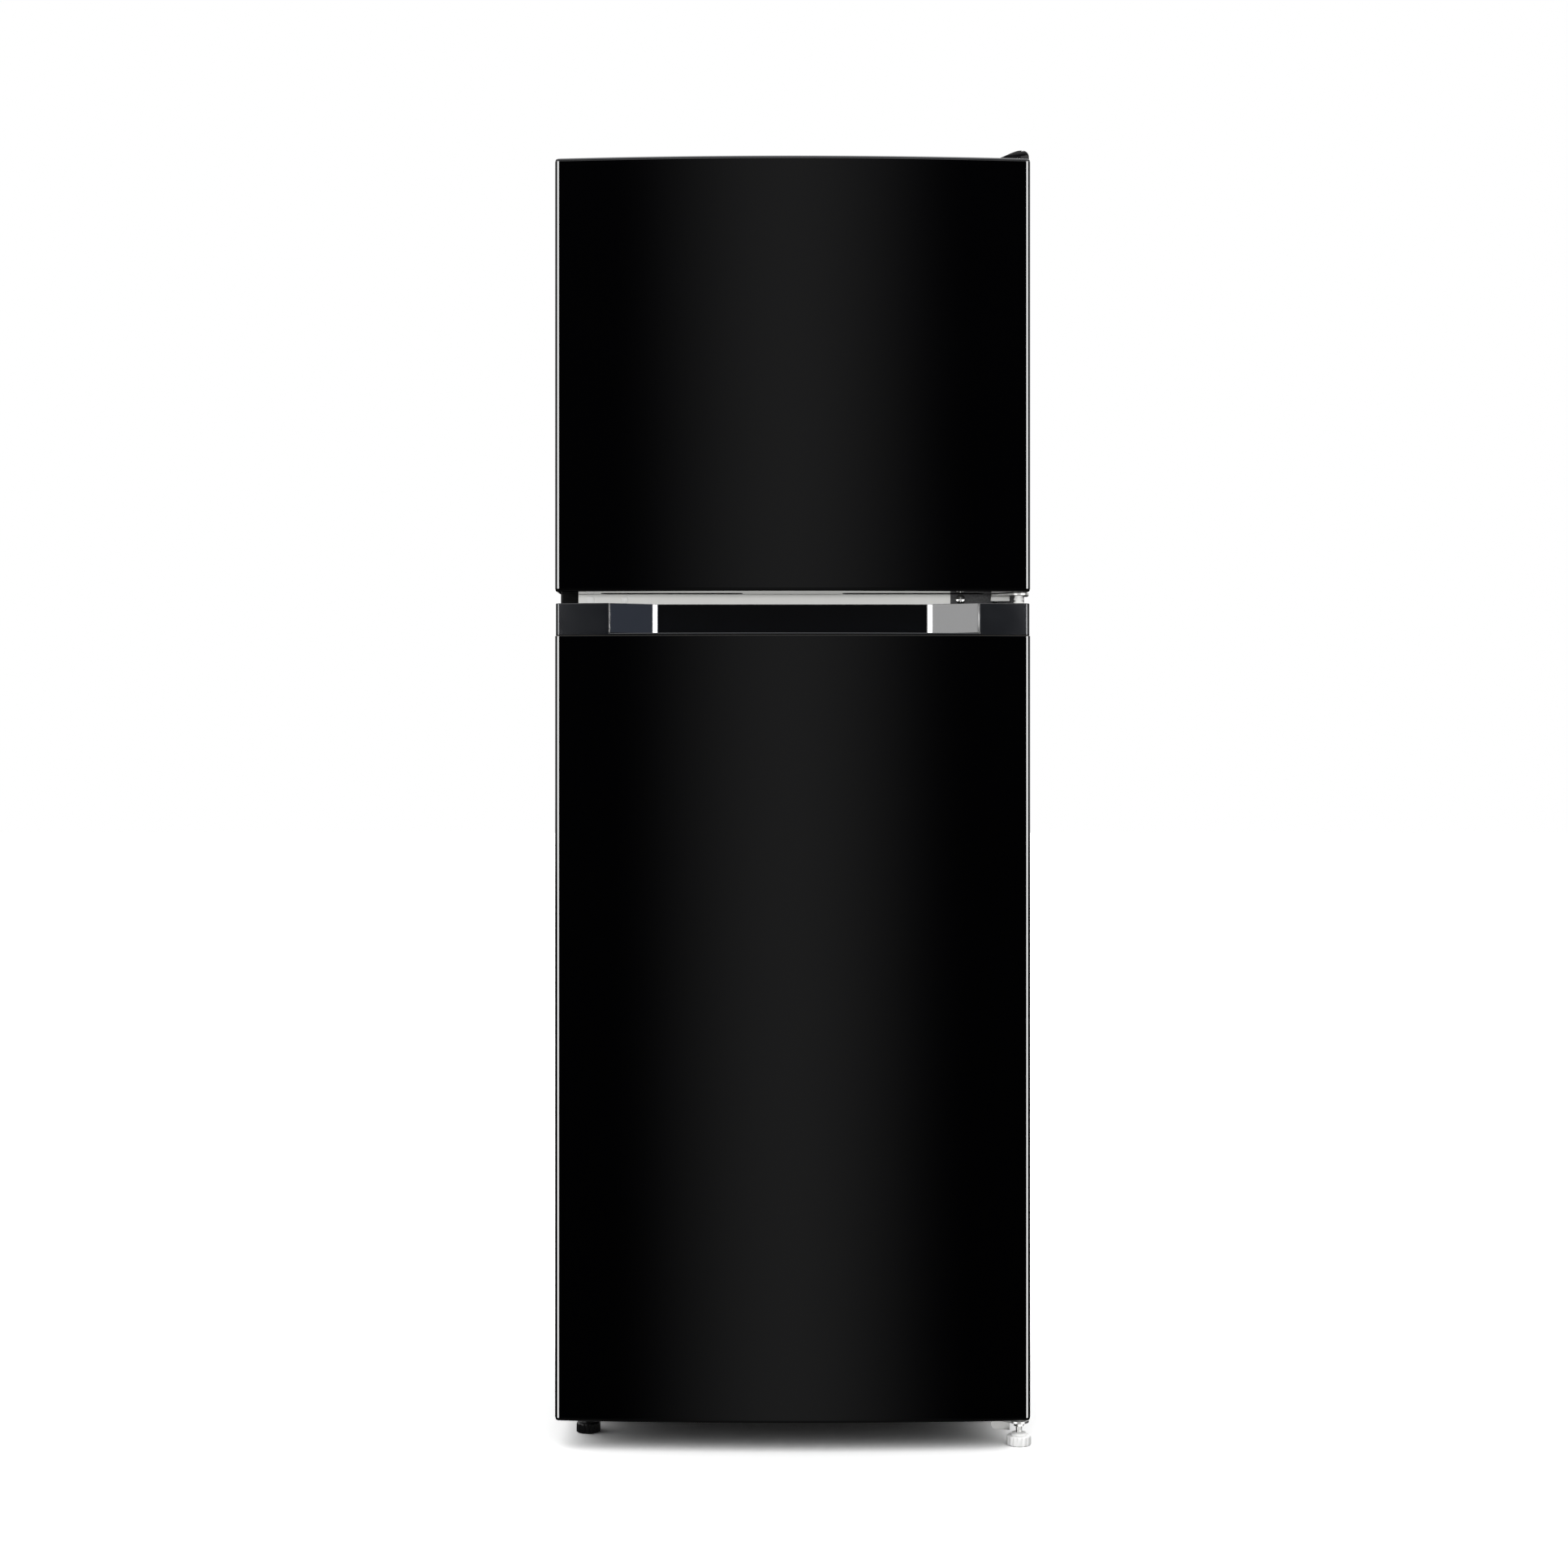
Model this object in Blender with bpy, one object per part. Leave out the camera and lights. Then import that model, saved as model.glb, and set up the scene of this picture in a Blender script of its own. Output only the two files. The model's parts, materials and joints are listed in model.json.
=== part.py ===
"""A top freezer refrigerator as an assembly of separate solids.

Metres, +Z up. The doors face -Y, their hinges are at +X, and the origin is on the floor under the middle.
"""

import math

import bmesh
import bpy
from mathutils import Matrix, Vector

# ---------------------------------------------------------------- driving dimensions
GAP = 0.0003  # clearance between pieces that touch
FRONT_Y = -0.320  # crown of the doors
BACK_Y = 0.320

DOOR_HALF = 0.2975  # half the width of both doors
DOOR_CROWN = 0.016  # how far the middle of a door stands proud of its edges
DOOR_EDGE_Y = FRONT_Y + DOOR_CROWN
DOOR_BACK_Y = DOOR_EDGE_Y + 0.046
DOOR_CORNER = 0.006  # radius of the folded vertical edges
SKIN = 0.001
SKIN_RETURN = 0.014  # width of the skin's fold onto the back of the door
CAP_PLATE = 0.003  # visible thickness of an end cap
CAP_PLUG = 0.022  # how deep an end cap reaches into the skin

FREEZER_DOOR_Z = (1.0725, 1.6145)
FRIDGE_DOOR_Z = (0.0357, 1.058)
TRIM_BOTTOM_Z = 1.0174  # lower edge of the handle trim on the fridge door
TRIM_INSET = 0.001

CABINET_HALF = 0.2955
CABINET_FRONT_Y = DOOR_EDGE_Y + 0.062
CABINET_BACK_Y = 0.317
CABINET_Z = (0.048, 1.617)
SHELL = 0.0012
FLANGE = 0.0225  # width of the shell's front fold

LINER = 0.002
FREEZER_HALF = 0.235
FREEZER_Z = (1.100, 1.557)
FREEZER_BACK_Y = 0.262
FRIDGE_HALF = 0.250
FRIDGE_Z = (0.105, 1.030)
FRIDGE_BACK_Y = 0.265
STEP_Y = 0.090  # riser over the compressor, inside the fridge
STEP_Z = 0.298
MACHINE_Y = 0.130  # front wall of the compressor compartment
MACHINE_Z = 0.250  # its ceiling

GASKET_OUTER = 0.284
GASKET_WIDTH = 0.016
GASKET_MARGIN_Z = 0.008  # from the end of a door to its gasket

HINGE = Vector((0.285, DOOR_EDGE_Y + 0.024, 0.0))
PIN_R = 0.0035
BORE_R = 0.0039
HINGE_PLATE = 0.003

BIN_BACK_Y = -0.172
SHELF_FRONT_Y = -0.158
BIN_WALL = 0.0025
DYKE_Y = -0.222  # how far the raised border of a door liner reaches in
DYKE_WIDTH = 0.016

LEFT_FOOT = Vector((-0.262, -0.214, 0.0))
FOOT_R = 0.0155
FOOT_HEIGHT = 0.0115
STEM_R = 0.004
ROLLER_R = 0.020

# ---------------------------------------------------------------- materials
PALETTE = {
    "black_gloss": ((0.006, 0.006, 0.007), 0.12, 0.0),
    "black_trim": ((0.012, 0.013, 0.016), 0.10, 0.0),
    "black_cabinet": ((0.010, 0.010, 0.011), 0.35, 0.0),
    "black_plastic": ((0.014, 0.014, 0.015), 0.40, 0.0),
    "white_liner": ((0.80, 0.80, 0.77), 0.30, 0.0),
    "white_plastic": ((0.84, 0.84, 0.82), 0.35, 0.0),
    "gasket": ((0.45, 0.45, 0.46), 0.60, 0.0),
    "foam": ((0.78, 0.66, 0.36), 0.90, 0.0),
    "zinc_steel": ((0.62, 0.62, 0.60), 0.25, 1.0),
    "galvanised": ((0.55, 0.56, 0.57), 0.45, 1.0),
    "clear_plastic": ((0.80, 0.88, 0.92), 0.08, 0.0),
    "glass": ((0.75, 0.90, 0.86), 0.03, 0.0),
    "compressor_black": ((0.012, 0.012, 0.013), 0.45, 0.0),
    "copper": ((0.72, 0.36, 0.20), 0.25, 1.0),
    "aluminium": ((0.75, 0.76, 0.77), 0.35, 1.0),
    "foot_white": ((0.86, 0.86, 0.85), 0.45, 0.0),
}


def material(name):
    """The named material, made once."""
    found = bpy.data.materials.get(name)
    if found:
        return found
    colour, roughness, metallic = PALETTE[name]
    made = bpy.data.materials.new(name)
    made.use_nodes = True
    shader = made.node_tree.nodes["Principled BSDF"]
    shader.inputs["Base Color"].default_value = (*colour, 1.0)
    shader.inputs["Roughness"].default_value = roughness
    shader.inputs["Metallic"].default_value = metallic
    return made


# ---------------------------------------------------------------- shapes, as meshes in world space
def mesh_of(bm):
    """A mesh of the bmesh, with its faces pointing out."""
    bmesh.ops.recalc_face_normals(bm, faces=bm.faces)
    mesh = bpy.data.meshes.new("shape")
    bm.to_mesh(mesh)
    bm.free()
    return mesh


def block(x, y, z):
    """A box from three (low, high) pairs."""
    bm = bmesh.new()
    bmesh.ops.create_cube(bm, size=1.0)
    size = [hi - lo for lo, hi in (x, y, z)]
    middle = [(hi + lo) / 2 for lo, hi in (x, y, z)]
    bmesh.ops.transform(bm, matrix=Matrix.Translation(middle) @ Matrix.Diagonal((*size, 1.0)), verts=bm.verts)
    return mesh_of(bm)


def prism(outline, low, high, axis="Z"):
    """An outline of (u, v) points extruded along an axis: u, v are x, y for Z, x, z for Y and y, z for X."""
    place = {
        "Z": lambda u, v, w: (u, v, w),
        "Y": lambda u, v, w: (u, w, v),
        "X": lambda u, v, w: (w, u, v),
    }[axis]
    bm = bmesh.new()
    face = bm.faces.new([bm.verts.new(place(u, v, low)) for u, v in outline])
    made = bmesh.ops.extrude_face_region(bm, geom=[face])
    top = [v for v in made["geom"] if isinstance(v, bmesh.types.BMVert)]
    bmesh.ops.translate(bm, verts=top, vec=Vector(place(0, 0, high - low)))
    return mesh_of(bm)


def turned(profile, centre, axis="Z", sides=24):
    """A profile of (radius, height) points spun about an axis through centre. Both ends lie on the axis."""
    bm = bmesh.new()
    verts = [bm.verts.new((r, 0.0, h)) for r, h in profile]
    edges = [bm.edges.new(pair) for pair in zip(verts, verts[1:])]
    bmesh.ops.spin(
        bm, geom=verts + edges, cent=(0, 0, 0), axis=(0, 0, 1), angle=2 * math.pi, steps=sides, use_merge=True
    )
    bmesh.ops.remove_doubles(bm, verts=bm.verts, dist=1e-6)
    turn = {
        "Z": Matrix.Identity(4),
        "Y": Matrix.Rotation(-math.pi / 2, 4, "X"),
        "X": Matrix.Rotation(math.pi / 2, 4, "Y"),
    }[axis]
    bmesh.ops.transform(bm, matrix=Matrix.Translation(centre) @ turn, verts=bm.verts)
    return mesh_of(bm)


def rod(centre, radius, low, high, axis="Z", sides=24):
    """A cylinder between two heights along its axis, measured from centre."""
    return turned([(0, low), (radius, low), (radius, high), (0, high)], centre, axis, sides)


def arc(centre, radius, start, end, steps):
    """Points along an arc, in degrees."""
    angles = [math.radians(start + (end - start) * i / steps) for i in range(steps + 1)]
    return [(centre[0] + radius * math.cos(a), centre[1] + radius * math.sin(a)) for a in angles]


# ---------------------------------------------------------------- nodes
def pivot(name, place):
    """An empty on a joint's axis."""
    empty = bpy.data.objects.new(name, None)
    empty.empty_display_size = 0.03
    empty.location = place
    bpy.context.scene.collection.objects.link(empty)
    return empty


def helper(name, mesh):
    """An object that joins or cuts another and isn't a piece itself."""
    tool = bpy.data.objects.new(name, mesh)
    tool.hide_render = True
    tool.display_type = "WIRE"
    bpy.context.scene.collection.objects.link(tool)
    return tool


def node(name, look, base, joins=(), cuts=(), on=None):
    """A piece: a base shape, the shapes joined to it, and then the shapes cut from it."""
    obj = bpy.data.objects.new(name, base)
    bpy.context.scene.collection.objects.link(obj)
    base.name = name
    base.materials.append(material(look))
    base.shade_smooth()
    base.set_sharp_from_angle(angle=math.radians(30))
    for kind, operation, shapes in (("join", "UNION", joins), ("cut", "DIFFERENCE", cuts)):
        for i, shape in enumerate(shapes):
            modifier = obj.modifiers.new(f"{kind}_{i}", "BOOLEAN")
            modifier.operation = operation
            modifier.object = helper(f"{name}_{kind}_{i}", shape)
    if on is not None:
        place = Matrix.Translation(on.location)
        base.transform(place.inverted())
        obj.parent = on
    return obj


# ---------------------------------------------------------------- doors
def crown_y(x, half=DOOR_HALF, edge=DOOR_EDGE_Y):
    """The y of a door's front at x: an arc that stands DOOR_CROWN proud of its edges."""
    radius = (half**2 + DOOR_CROWN**2) / (2 * DOOR_CROWN)
    return edge - DOOR_CROWN + radius - math.sqrt(radius**2 - x**2)


def door_outline(inset, back, steps=16):
    """A door's plan, from its back left corner round the crowned front to its back right corner."""
    half = DOOR_HALF - inset
    corner = DOOR_CORNER - min(inset, DOOR_CORNER / 2)
    flat = half - corner
    front = [(flat * (2 * i / steps - 1), crown_y(flat * (2 * i / steps - 1)) + inset) for i in range(steps + 1)]
    centre_y = front[0][1] + corner
    left = arc((-flat, centre_y), corner, 180, 270, 3)
    right = arc((flat, centre_y), corner, 270, 360, 3)
    return [(-half, back)] + left[:-1] + front + right[1:] + [(half, back)]


def door_skin(name, z, on):
    """The folded steel front: the crowned face, both sides and a narrow return on the back."""
    outside = door_outline(0.0, DOOR_BACK_Y)
    inside = door_outline(SKIN, DOOR_BACK_Y - SKIN)
    fold = DOOR_HALF - SKIN_RETURN
    right_return = [(fold, DOOR_BACK_Y), (fold, DOOR_BACK_Y - SKIN)]
    left_return = [(-fold, DOOR_BACK_Y - SKIN), (-fold, DOOR_BACK_Y)]
    return node(name, "black_gloss", prism(outside + right_return + inside[::-1] + left_return, *z), on=on)


def door_foam(name, z, on):
    """The foam core between the skin and the door liner."""
    core = door_outline(SKIN + GAP, DOOR_BACK_Y - LINER - GAP)
    return node(name, "foam", prism(core, *z), on=on)


def end_cap(name, low, high, plug_up, on, cuts=()):
    """A door's end cap: a plate over the end of the skin, and a plug that reaches into it."""
    plate_z = (low, low + CAP_PLATE) if plug_up else (high - CAP_PLATE, high)
    plate = prism(door_outline(TRIM_INSET / 2, DOOR_BACK_Y), *plate_z)
    plug = prism(door_outline(SKIN + GAP, DOOR_BACK_Y - LINER - GAP), low + 0.0005, high - 0.0005)
    return node(name, "black_trim", plate, joins=[plug], cuts=cuts, on=on)


def pin_bore(low, high):
    """The hole that a hinge pin turns in."""
    return rod(HINGE, BORE_R, low, high, sides=32)


def door_liner(name, door_z, dyke_z, dyke_half, ledges, on):
    """The white inner panel: a flat plate with a raised border, and ledges that carry the bins."""
    half = DOOR_HALF - SKIN_RETURN - GAP
    plate = block((-half, half), (DOOR_BACK_Y - LINER, DOOR_BACK_Y), door_z)
    reach = (DOOR_BACK_Y - LINER / 2, DYKE_Y)
    inner = dyke_half - DYKE_WIDTH
    joins = []
    for side in (-1, 1):
        joins.append(block(sorted((side * inner, side * dyke_half)), reach, dyke_z))
    joins.append(block((-dyke_half, dyke_half), reach, (dyke_z[0], dyke_z[0] + DYKE_WIDTH)))
    joins.append(block((-dyke_half, dyke_half), reach, (dyke_z[1] - DYKE_WIDTH, dyke_z[1])))
    for z in ledges:
        for side in (-1, 1):
            ledge = sorted((side * (inner - 0.010), side * (inner + 0.002)))
            joins.append(block(ledge, (reach[0], DYKE_Y - 0.006), (z - 0.006, z - GAP)))
    return node(name, "white_liner", plate, joins=joins, on=on)


def door_gasket(name, door_z, on):
    """The magnetic seal: one frame between the door liner and the cabinet."""
    y = (DOOR_BACK_Y + GAP, CABINET_FRONT_Y - GAP)
    low, high = door_z[0] + GASKET_MARGIN_Z, door_z[1] - GASKET_MARGIN_Z
    frame = block((-GASKET_OUTER, GASKET_OUTER), y, (low, high))
    inner = GASKET_OUTER - GASKET_WIDTH
    hole = block((-inner, inner), (y[0] - 0.01, y[1] + 0.01), (low + GASKET_WIDTH, high - GASKET_WIDTH))
    return node(name, "gasket", frame, cuts=[hole], on=on)


def door_bin(name, look, half, z, on):
    """An open bin that hangs between the borders of a door liner."""
    y = (DOOR_BACK_Y + GAP, BIN_BACK_Y)
    body = block((-half, half), y, z)
    room = block(
        (-half + BIN_WALL, half - BIN_WALL), (y[0] + BIN_WALL, y[1] - BIN_WALL), (z[0] + BIN_WALL, z[1] + 0.01)
    )
    return node(name, look, body, cuts=[room], on=on)


FREEZER_DYKE = 0.223
FRIDGE_DYKE = 0.238
FREEZER_BINS = {"freezer_upper_bin": (1.345, 1.425), "freezer_lower_bin": (1.136, 1.226)}
FRIDGE_BINS = {"upper_door_bin": (0.800, 0.880), "middle_door_bin": (0.520, 0.610), "bottle_bin": (0.142, 0.262)}
GRIP_SLOT_X = (0.063, 0.242)
GRIP_SLOT_Y = (HINGE.y - 0.002, HINGE.y + 0.018)
GRIP_SLOT_DEPTH = 0.016


def build_freezer_door():
    low, high = FREEZER_DOOR_Z
    axis = pivot("freezer_door_axis", HINGE + Vector((0, 0, low)))
    door_skin("freezer_door_skin", (low + CAP_PLATE + GAP, high - CAP_PLATE - GAP), axis)
    door_foam("freezer_door_foam", (low + CAP_PLUG + GAP, high - CAP_PLUG - GAP), axis)
    end_cap(
        "freezer_door_top_cap", high - CAP_PLUG, high, False, axis, cuts=[pin_bore(high - 0.0195, high + 0.01)]
    )
    slots = [
        block(sorted((side * GRIP_SLOT_X[0], side * GRIP_SLOT_X[1])), GRIP_SLOT_Y, (low - 0.01, low + GRIP_SLOT_DEPTH))
        for side in (-1, 1)
    ]
    bore = pin_bore(low - 0.01, low + 0.0205)
    end_cap("freezer_door_bottom_cap", low, low + CAP_PLUG, True, axis, cuts=slots + [bore])
    liner_z = (low + CAP_PLATE + GAP, high - CAP_PLATE - GAP)
    dyke_z = (FREEZER_Z[0] + 0.015, FREEZER_Z[1] - 0.015)
    ledges = [z[0] for z in FREEZER_BINS.values()]
    door_liner("freezer_door_liner", liner_z, dyke_z, FREEZER_DYKE, ledges, axis)
    door_gasket("freezer_door_gasket", FREEZER_DOOR_Z, axis)
    for name, z in FREEZER_BINS.items():
        door_bin(name, "white_plastic", FREEZER_DYKE - DYKE_WIDTH - 0.0005, z, axis)


# ---- the handle trim on top of the fridge door
RECESS_OUTER = (-0.2296, 0.2333)  # ends of the scooped insert
RECESS_RAMP = 0.1765  # where its sloped ends meet the short steep wall
RECESS_FLOOR = 0.1685  # where that wall meets the flat back
RECESS_RAMP_Y = -0.2895
RECESS_BACK_Y = -0.2835
RECESS_Z = 1.0205
INSERT = 0.0022
FINGER_SLOT_HALF = 0.160
FINGER_SLOT_Y = (RECESS_BACK_Y + 0.005, RECESS_BACK_Y + 0.021)
FINGER_SLOT_DEPTH = 0.022


def recess_line(offset):
    """The scoop's plan from left to right, set back by offset."""
    left, right = RECESS_OUTER
    return [
        (left, crown_y(left) + TRIM_INSET + 0.0012 + offset),
        (-RECESS_RAMP, RECESS_RAMP_Y + offset),
        (-RECESS_FLOOR, RECESS_BACK_Y + offset),
        (RECESS_FLOOR, RECESS_BACK_Y + offset),
        (RECESS_RAMP, RECESS_RAMP_Y + offset),
        (right, crown_y(right) + TRIM_INSET + 0.0012 + offset),
    ]


def build_handle_trim(axis):
    """The black trim across the top of the fridge door, its scooped insert and the finger slot behind it."""
    high = FRIDGE_DOOR_Z[1]
    trim = prism(door_outline(TRIM_INSET, DOOR_BACK_Y), TRIM_BOTTOM_Z + GAP, high)
    line = recess_line(INSERT + GAP)
    line[0] = (line[0][0] - GAP, line[0][1])
    line[-1] = (line[-1][0] + GAP, line[-1][1])
    front = FRONT_Y - 0.02
    scoop = prism(line + [(line[-1][0], front), (line[0][0], front)], RECESS_Z, high + 0.01)
    slot = block((-FINGER_SLOT_HALF, FINGER_SLOT_HALF), FINGER_SLOT_Y, (high - FINGER_SLOT_DEPTH, high + 0.01))
    node(
        "fridge_door_handle_trim", "black_trim", trim, cuts=[scoop, slot, pin_bore(high - 0.0195, high + 0.01)], on=axis
    )
    insert = prism(recess_line(0.0) + recess_line(INSERT)[::-1], RECESS_Z + GAP, high)
    node("handle_recess_insert", "black_trim", insert, on=axis)


def build_fridge_door():
    low, high = FRIDGE_DOOR_Z
    axis = pivot("fridge_door_axis", HINGE + Vector((0, 0, low)))
    door_skin("fridge_door_skin", (low + CAP_PLATE + GAP, TRIM_BOTTOM_Z), axis)
    door_foam("fridge_door_foam", (low + CAP_PLUG + GAP, TRIM_BOTTOM_Z), axis)
    end_cap("fridge_door_bottom_cap", low, low + CAP_PLUG, True, axis, cuts=[pin_bore(low - 0.01, low + 0.0205)])
    dyke_z = (FRIDGE_Z[0] + 0.015, FRIDGE_Z[1] - 0.015)
    ledges = [z[0] for z in FRIDGE_BINS.values()]
    door_liner("fridge_door_liner", (low + CAP_PLATE + GAP, TRIM_BOTTOM_Z), dyke_z, FRIDGE_DYKE, ledges, axis)
    door_gasket("fridge_door_gasket", FRIDGE_DOOR_Z, axis)
    for name, z in FRIDGE_BINS.items():
        door_bin(name, "clear_plastic", FRIDGE_DYKE - DYKE_WIDTH - 0.0005, z, axis)
    build_handle_trim(axis)


# ---------------------------------------------------------------- cabinet
def build_shell():
    """The painted steel wrap: top, sides and a narrow fold round the front."""
    low, high = CABINET_Z
    outside = block((-CABINET_HALF, CABINET_HALF), (CABINET_FRONT_Y, CABINET_BACK_Y), (low, high))
    half = CABINET_HALF - SHELL
    inside = block((-half, half), (CABINET_FRONT_Y + SHELL, CABINET_BACK_Y + 0.01), (low - 0.01, high - SHELL))
    opening_half = CABINET_HALF - FLANGE
    opening = block(
        (-opening_half, opening_half), (CABINET_FRONT_Y - 0.01, CABINET_FRONT_Y + 0.01), (low + FLANGE, high - FLANGE)
    )
    node("cabinet_shell", "black_cabinet", outside, cuts=[inside, opening])


def build_base_and_back():
    """The stepped floor pan, the flat back and the plate that carries the compressor and the rollers."""
    half = CABINET_HALF - SHELL - GAP
    low = CABINET_Z[0]
    front = CABINET_FRONT_Y + SHELL + GAP
    back = CABINET_BACK_Y - SHELL - 2 * GAP
    step = [
        (front, low),
        (MACHINE_Y, low),
        (MACHINE_Y, MACHINE_Z - SHELL),
        (back, MACHINE_Z - SHELL),
        (back, MACHINE_Z),
        (MACHINE_Y - SHELL, MACHINE_Z),
        (MACHINE_Y - SHELL, low + SHELL),
        (front, low + SHELL),
    ]
    nut = rod(LEFT_FOOT, NUT_R, low - 0.012, low + SHELL / 2, sides=18)
    thread = rod(LEFT_FOOT, STEM_R + GAP, low - 0.03, low)
    node("base_pan", "galvanised", prism(step, -half, half, "X"), joins=[nut], cuts=[thread])
    panel = block(
        (-half, half), (CABINET_BACK_Y - SHELL, CABINET_BACK_Y), (MACHINE_Z - SHELL, CABINET_Z[1] - SHELL - GAP)
    )
    rib_y = (CABINET_BACK_Y - SHELL / 2, BACK_Y)
    ribs = [block((x - 0.012, x + 0.012), rib_y, (0.36, 1.52)) for x in (-0.18, 0.0, 0.18)]
    node("back_panel", "galvanised", panel, joins=ribs)


def build_foam():
    """The rigid foam that fills the cabinet between the shell and both liners."""
    skin = SHELL + GAP
    wall = LINER + GAP
    half = CABINET_HALF - skin
    low, high = CABINET_Z
    front = CABINET_FRONT_Y + SHELL + GAP
    body = block((-half, half), (front, CABINET_BACK_Y - skin), (low + skin, high - skin))
    reach = front - 0.02
    cuts = [
        block(
            (-FREEZER_HALF - wall, FREEZER_HALF + wall),
            (reach, FREEZER_BACK_Y + wall),
            (FREEZER_Z[0] - wall, FREEZER_Z[1] + wall),
        ),
        prism(fridge_room(wall, reach), -FRIDGE_HALF - wall, FRIDGE_HALF + wall, "X"),
        block((-0.4, 0.4), (MACHINE_Y - skin, 0.4), (0.0, MACHINE_Z + GAP)),
        block((-0.4, 0.4), (reach, CABINET_FRONT_Y + LINER + GAP), (0.0, 2.0)),
    ]
    node("insulation_foam", "foam", body, cuts=cuts)


def fridge_room(grow, front):
    """Side view of the fresh food room, with its step over the compressor, grown by grow on every wall."""
    low, high = FRIDGE_Z
    return [
        (front, low - grow),
        (STEP_Y + grow, low - grow),
        (STEP_Y + grow, STEP_Z - grow),
        (FRIDGE_BACK_Y + grow, STEP_Z - grow),
        (FRIDGE_BACK_Y + grow, high + grow),
        (front, high + grow),
    ]


LIP_HALF = CABINET_HALF - FLANGE - GAP
LIP_Y = (CABINET_FRONT_Y, CABINET_FRONT_Y + LINER)
SHELF_HEIGHTS = {"lower_shelf": 0.545, "upper_shelf": 0.775}
CRISPER_COVER_Z = 0.306
FREEZER_SHELF_Z = 1.322
RIB = 0.007  # how far a shelf ledge stands out of a liner wall
RIB_HEIGHT = 0.008


def shelf_ribs(half, shelf_z, back):
    """The pair of ledges that one shelf slides on."""
    return [
        block(
            sorted((side * (half - RIB), side * (half + LINER / 2))),
            (SHELF_FRONT_Y - 0.012, back),
            (shelf_z - RIB_HEIGHT, shelf_z - GAP),
        )
        for side in (-1, 1)
    ]


def build_liners():
    """Both white tubs, each with a lip round its front and ledges for the shelves."""
    low, high = FREEZER_Z
    grown = FREEZER_HALF + LINER
    tub = block((-grown, grown), (CABINET_FRONT_Y, FREEZER_BACK_Y + LINER), (low - LINER, high + LINER))
    lip = block((-LIP_HALF, LIP_HALF), LIP_Y, (low + GAP, CABINET_Z[1] - FLANGE - GAP))
    room = block((-FREEZER_HALF, FREEZER_HALF), (CABINET_FRONT_Y - 0.01, FREEZER_BACK_Y), (low, high))
    under = block((-0.4, 0.4), (CABINET_FRONT_Y - 0.01, CABINET_FRONT_Y + 0.014), (low - 0.01, low + GAP))
    liner = node("freezer_liner", "white_liner", tub, joins=[lip], cuts=[room, under])
    add_joins(liner, shelf_ribs(FREEZER_HALF, FREEZER_SHELF_Z, 0.16))

    low, high = FRIDGE_Z
    grown = FRIDGE_HALF + LINER
    tub = prism(fridge_room(LINER, CABINET_FRONT_Y), -grown, grown, "X")
    lip = block((-LIP_HALF, LIP_HALF), LIP_Y, (CABINET_Z[0] + FLANGE + GAP, high - GAP))
    room = prism(fridge_room(0.0, CABINET_FRONT_Y - 0.01), -FRIDGE_HALF, FRIDGE_HALF, "X")
    over = block((-0.4, 0.4), (CABINET_FRONT_Y - 0.01, CABINET_FRONT_Y + 0.014), (high - GAP, high + 0.01))
    liner = node("fridge_liner", "white_liner", tub, joins=[lip], cuts=[room, over])
    for z in SHELF_HEIGHTS.values():
        add_joins(liner, shelf_ribs(FRIDGE_HALF, z, 0.20))
    add_joins(liner, shelf_ribs(FRIDGE_HALF, CRISPER_COVER_Z, 0.20))


def add_joins(obj, shapes):
    """Joins more shapes to a node, after its cuts."""
    for i, shape in enumerate(shapes):
        modifier = obj.modifiers.new(f"late_{len(obj.modifiers)}", "BOOLEAN")
        modifier.operation = "UNION"
        modifier.object = helper(f"{obj.name}_late_{len(obj.modifiers)}_{i}", shape)


MULLION_PLUGS = {"outer_plug": (-0.2576, 0.0055), "inner_plug": (-0.2137, 0.0048)}
MULLION_SCREWS = {"outer_hinge_screw": 0.2576, "inner_hinge_screw": 0.2137}
SCREW_Z = 1.0666
SCREW_R = 0.0023


def build_mullion():
    """The white crossbar between the doors, with its hinge holes and the plugs in the unused pair."""
    bar = block((-LIP_HALF, LIP_HALF), LIP_Y, (FRIDGE_Z[1], FREEZER_Z[0]))
    holes = []
    for x in [plug[0] for plug in MULLION_PLUGS.values()] + list(MULLION_SCREWS.values()):
        centre = Vector((x, CABINET_FRONT_Y, SCREW_Z))
        holes.append(rod(centre, SCREW_R + GAP, -0.01, 0.01, "Y", sides=16))
    node("mullion_rail", "white_liner", bar, cuts=holes)
    for name, (x, radius) in MULLION_PLUGS.items():
        face = Vector((x, CABINET_FRONT_Y - GAP, SCREW_Z))
        outline = [(0, -0.0016), (radius - 0.0008, -0.0016), (radius, -0.0008), (radius, 0), (SCREW_R, 0)]
        node(name, "white_plastic", turned(outline + [(SCREW_R, 0.0018), (0, 0.0018)], face, "Y", sides=20))
    for name, x in MULLION_SCREWS.items():
        face = Vector((x, CABINET_FRONT_Y - HINGE_PLATE - 2 * GAP, SCREW_Z))
        end = HINGE_PLATE + 2 * GAP + 0.0016
        outline = [(0, -0.0032), (0.0035, -0.0028), (0.0060, -0.0010), (0.0062, 0), (SCREW_R, 0), (SCREW_R, end)]
        recess = [block((x - 0.0006, x + 0.0006), (face.y - 0.01, face.y - 0.0012), (SCREW_Z - 0.003, SCREW_Z + 0.003))]
        recess.append(
            block((x - 0.003, x + 0.003), (face.y - 0.01, face.y - 0.0012), (SCREW_Z - 0.0006, SCREW_Z + 0.0006))
        )
        node(name, "zinc_steel", turned(outline + [(0, end)], face, "Y", sides=20), cuts=recess)


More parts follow.
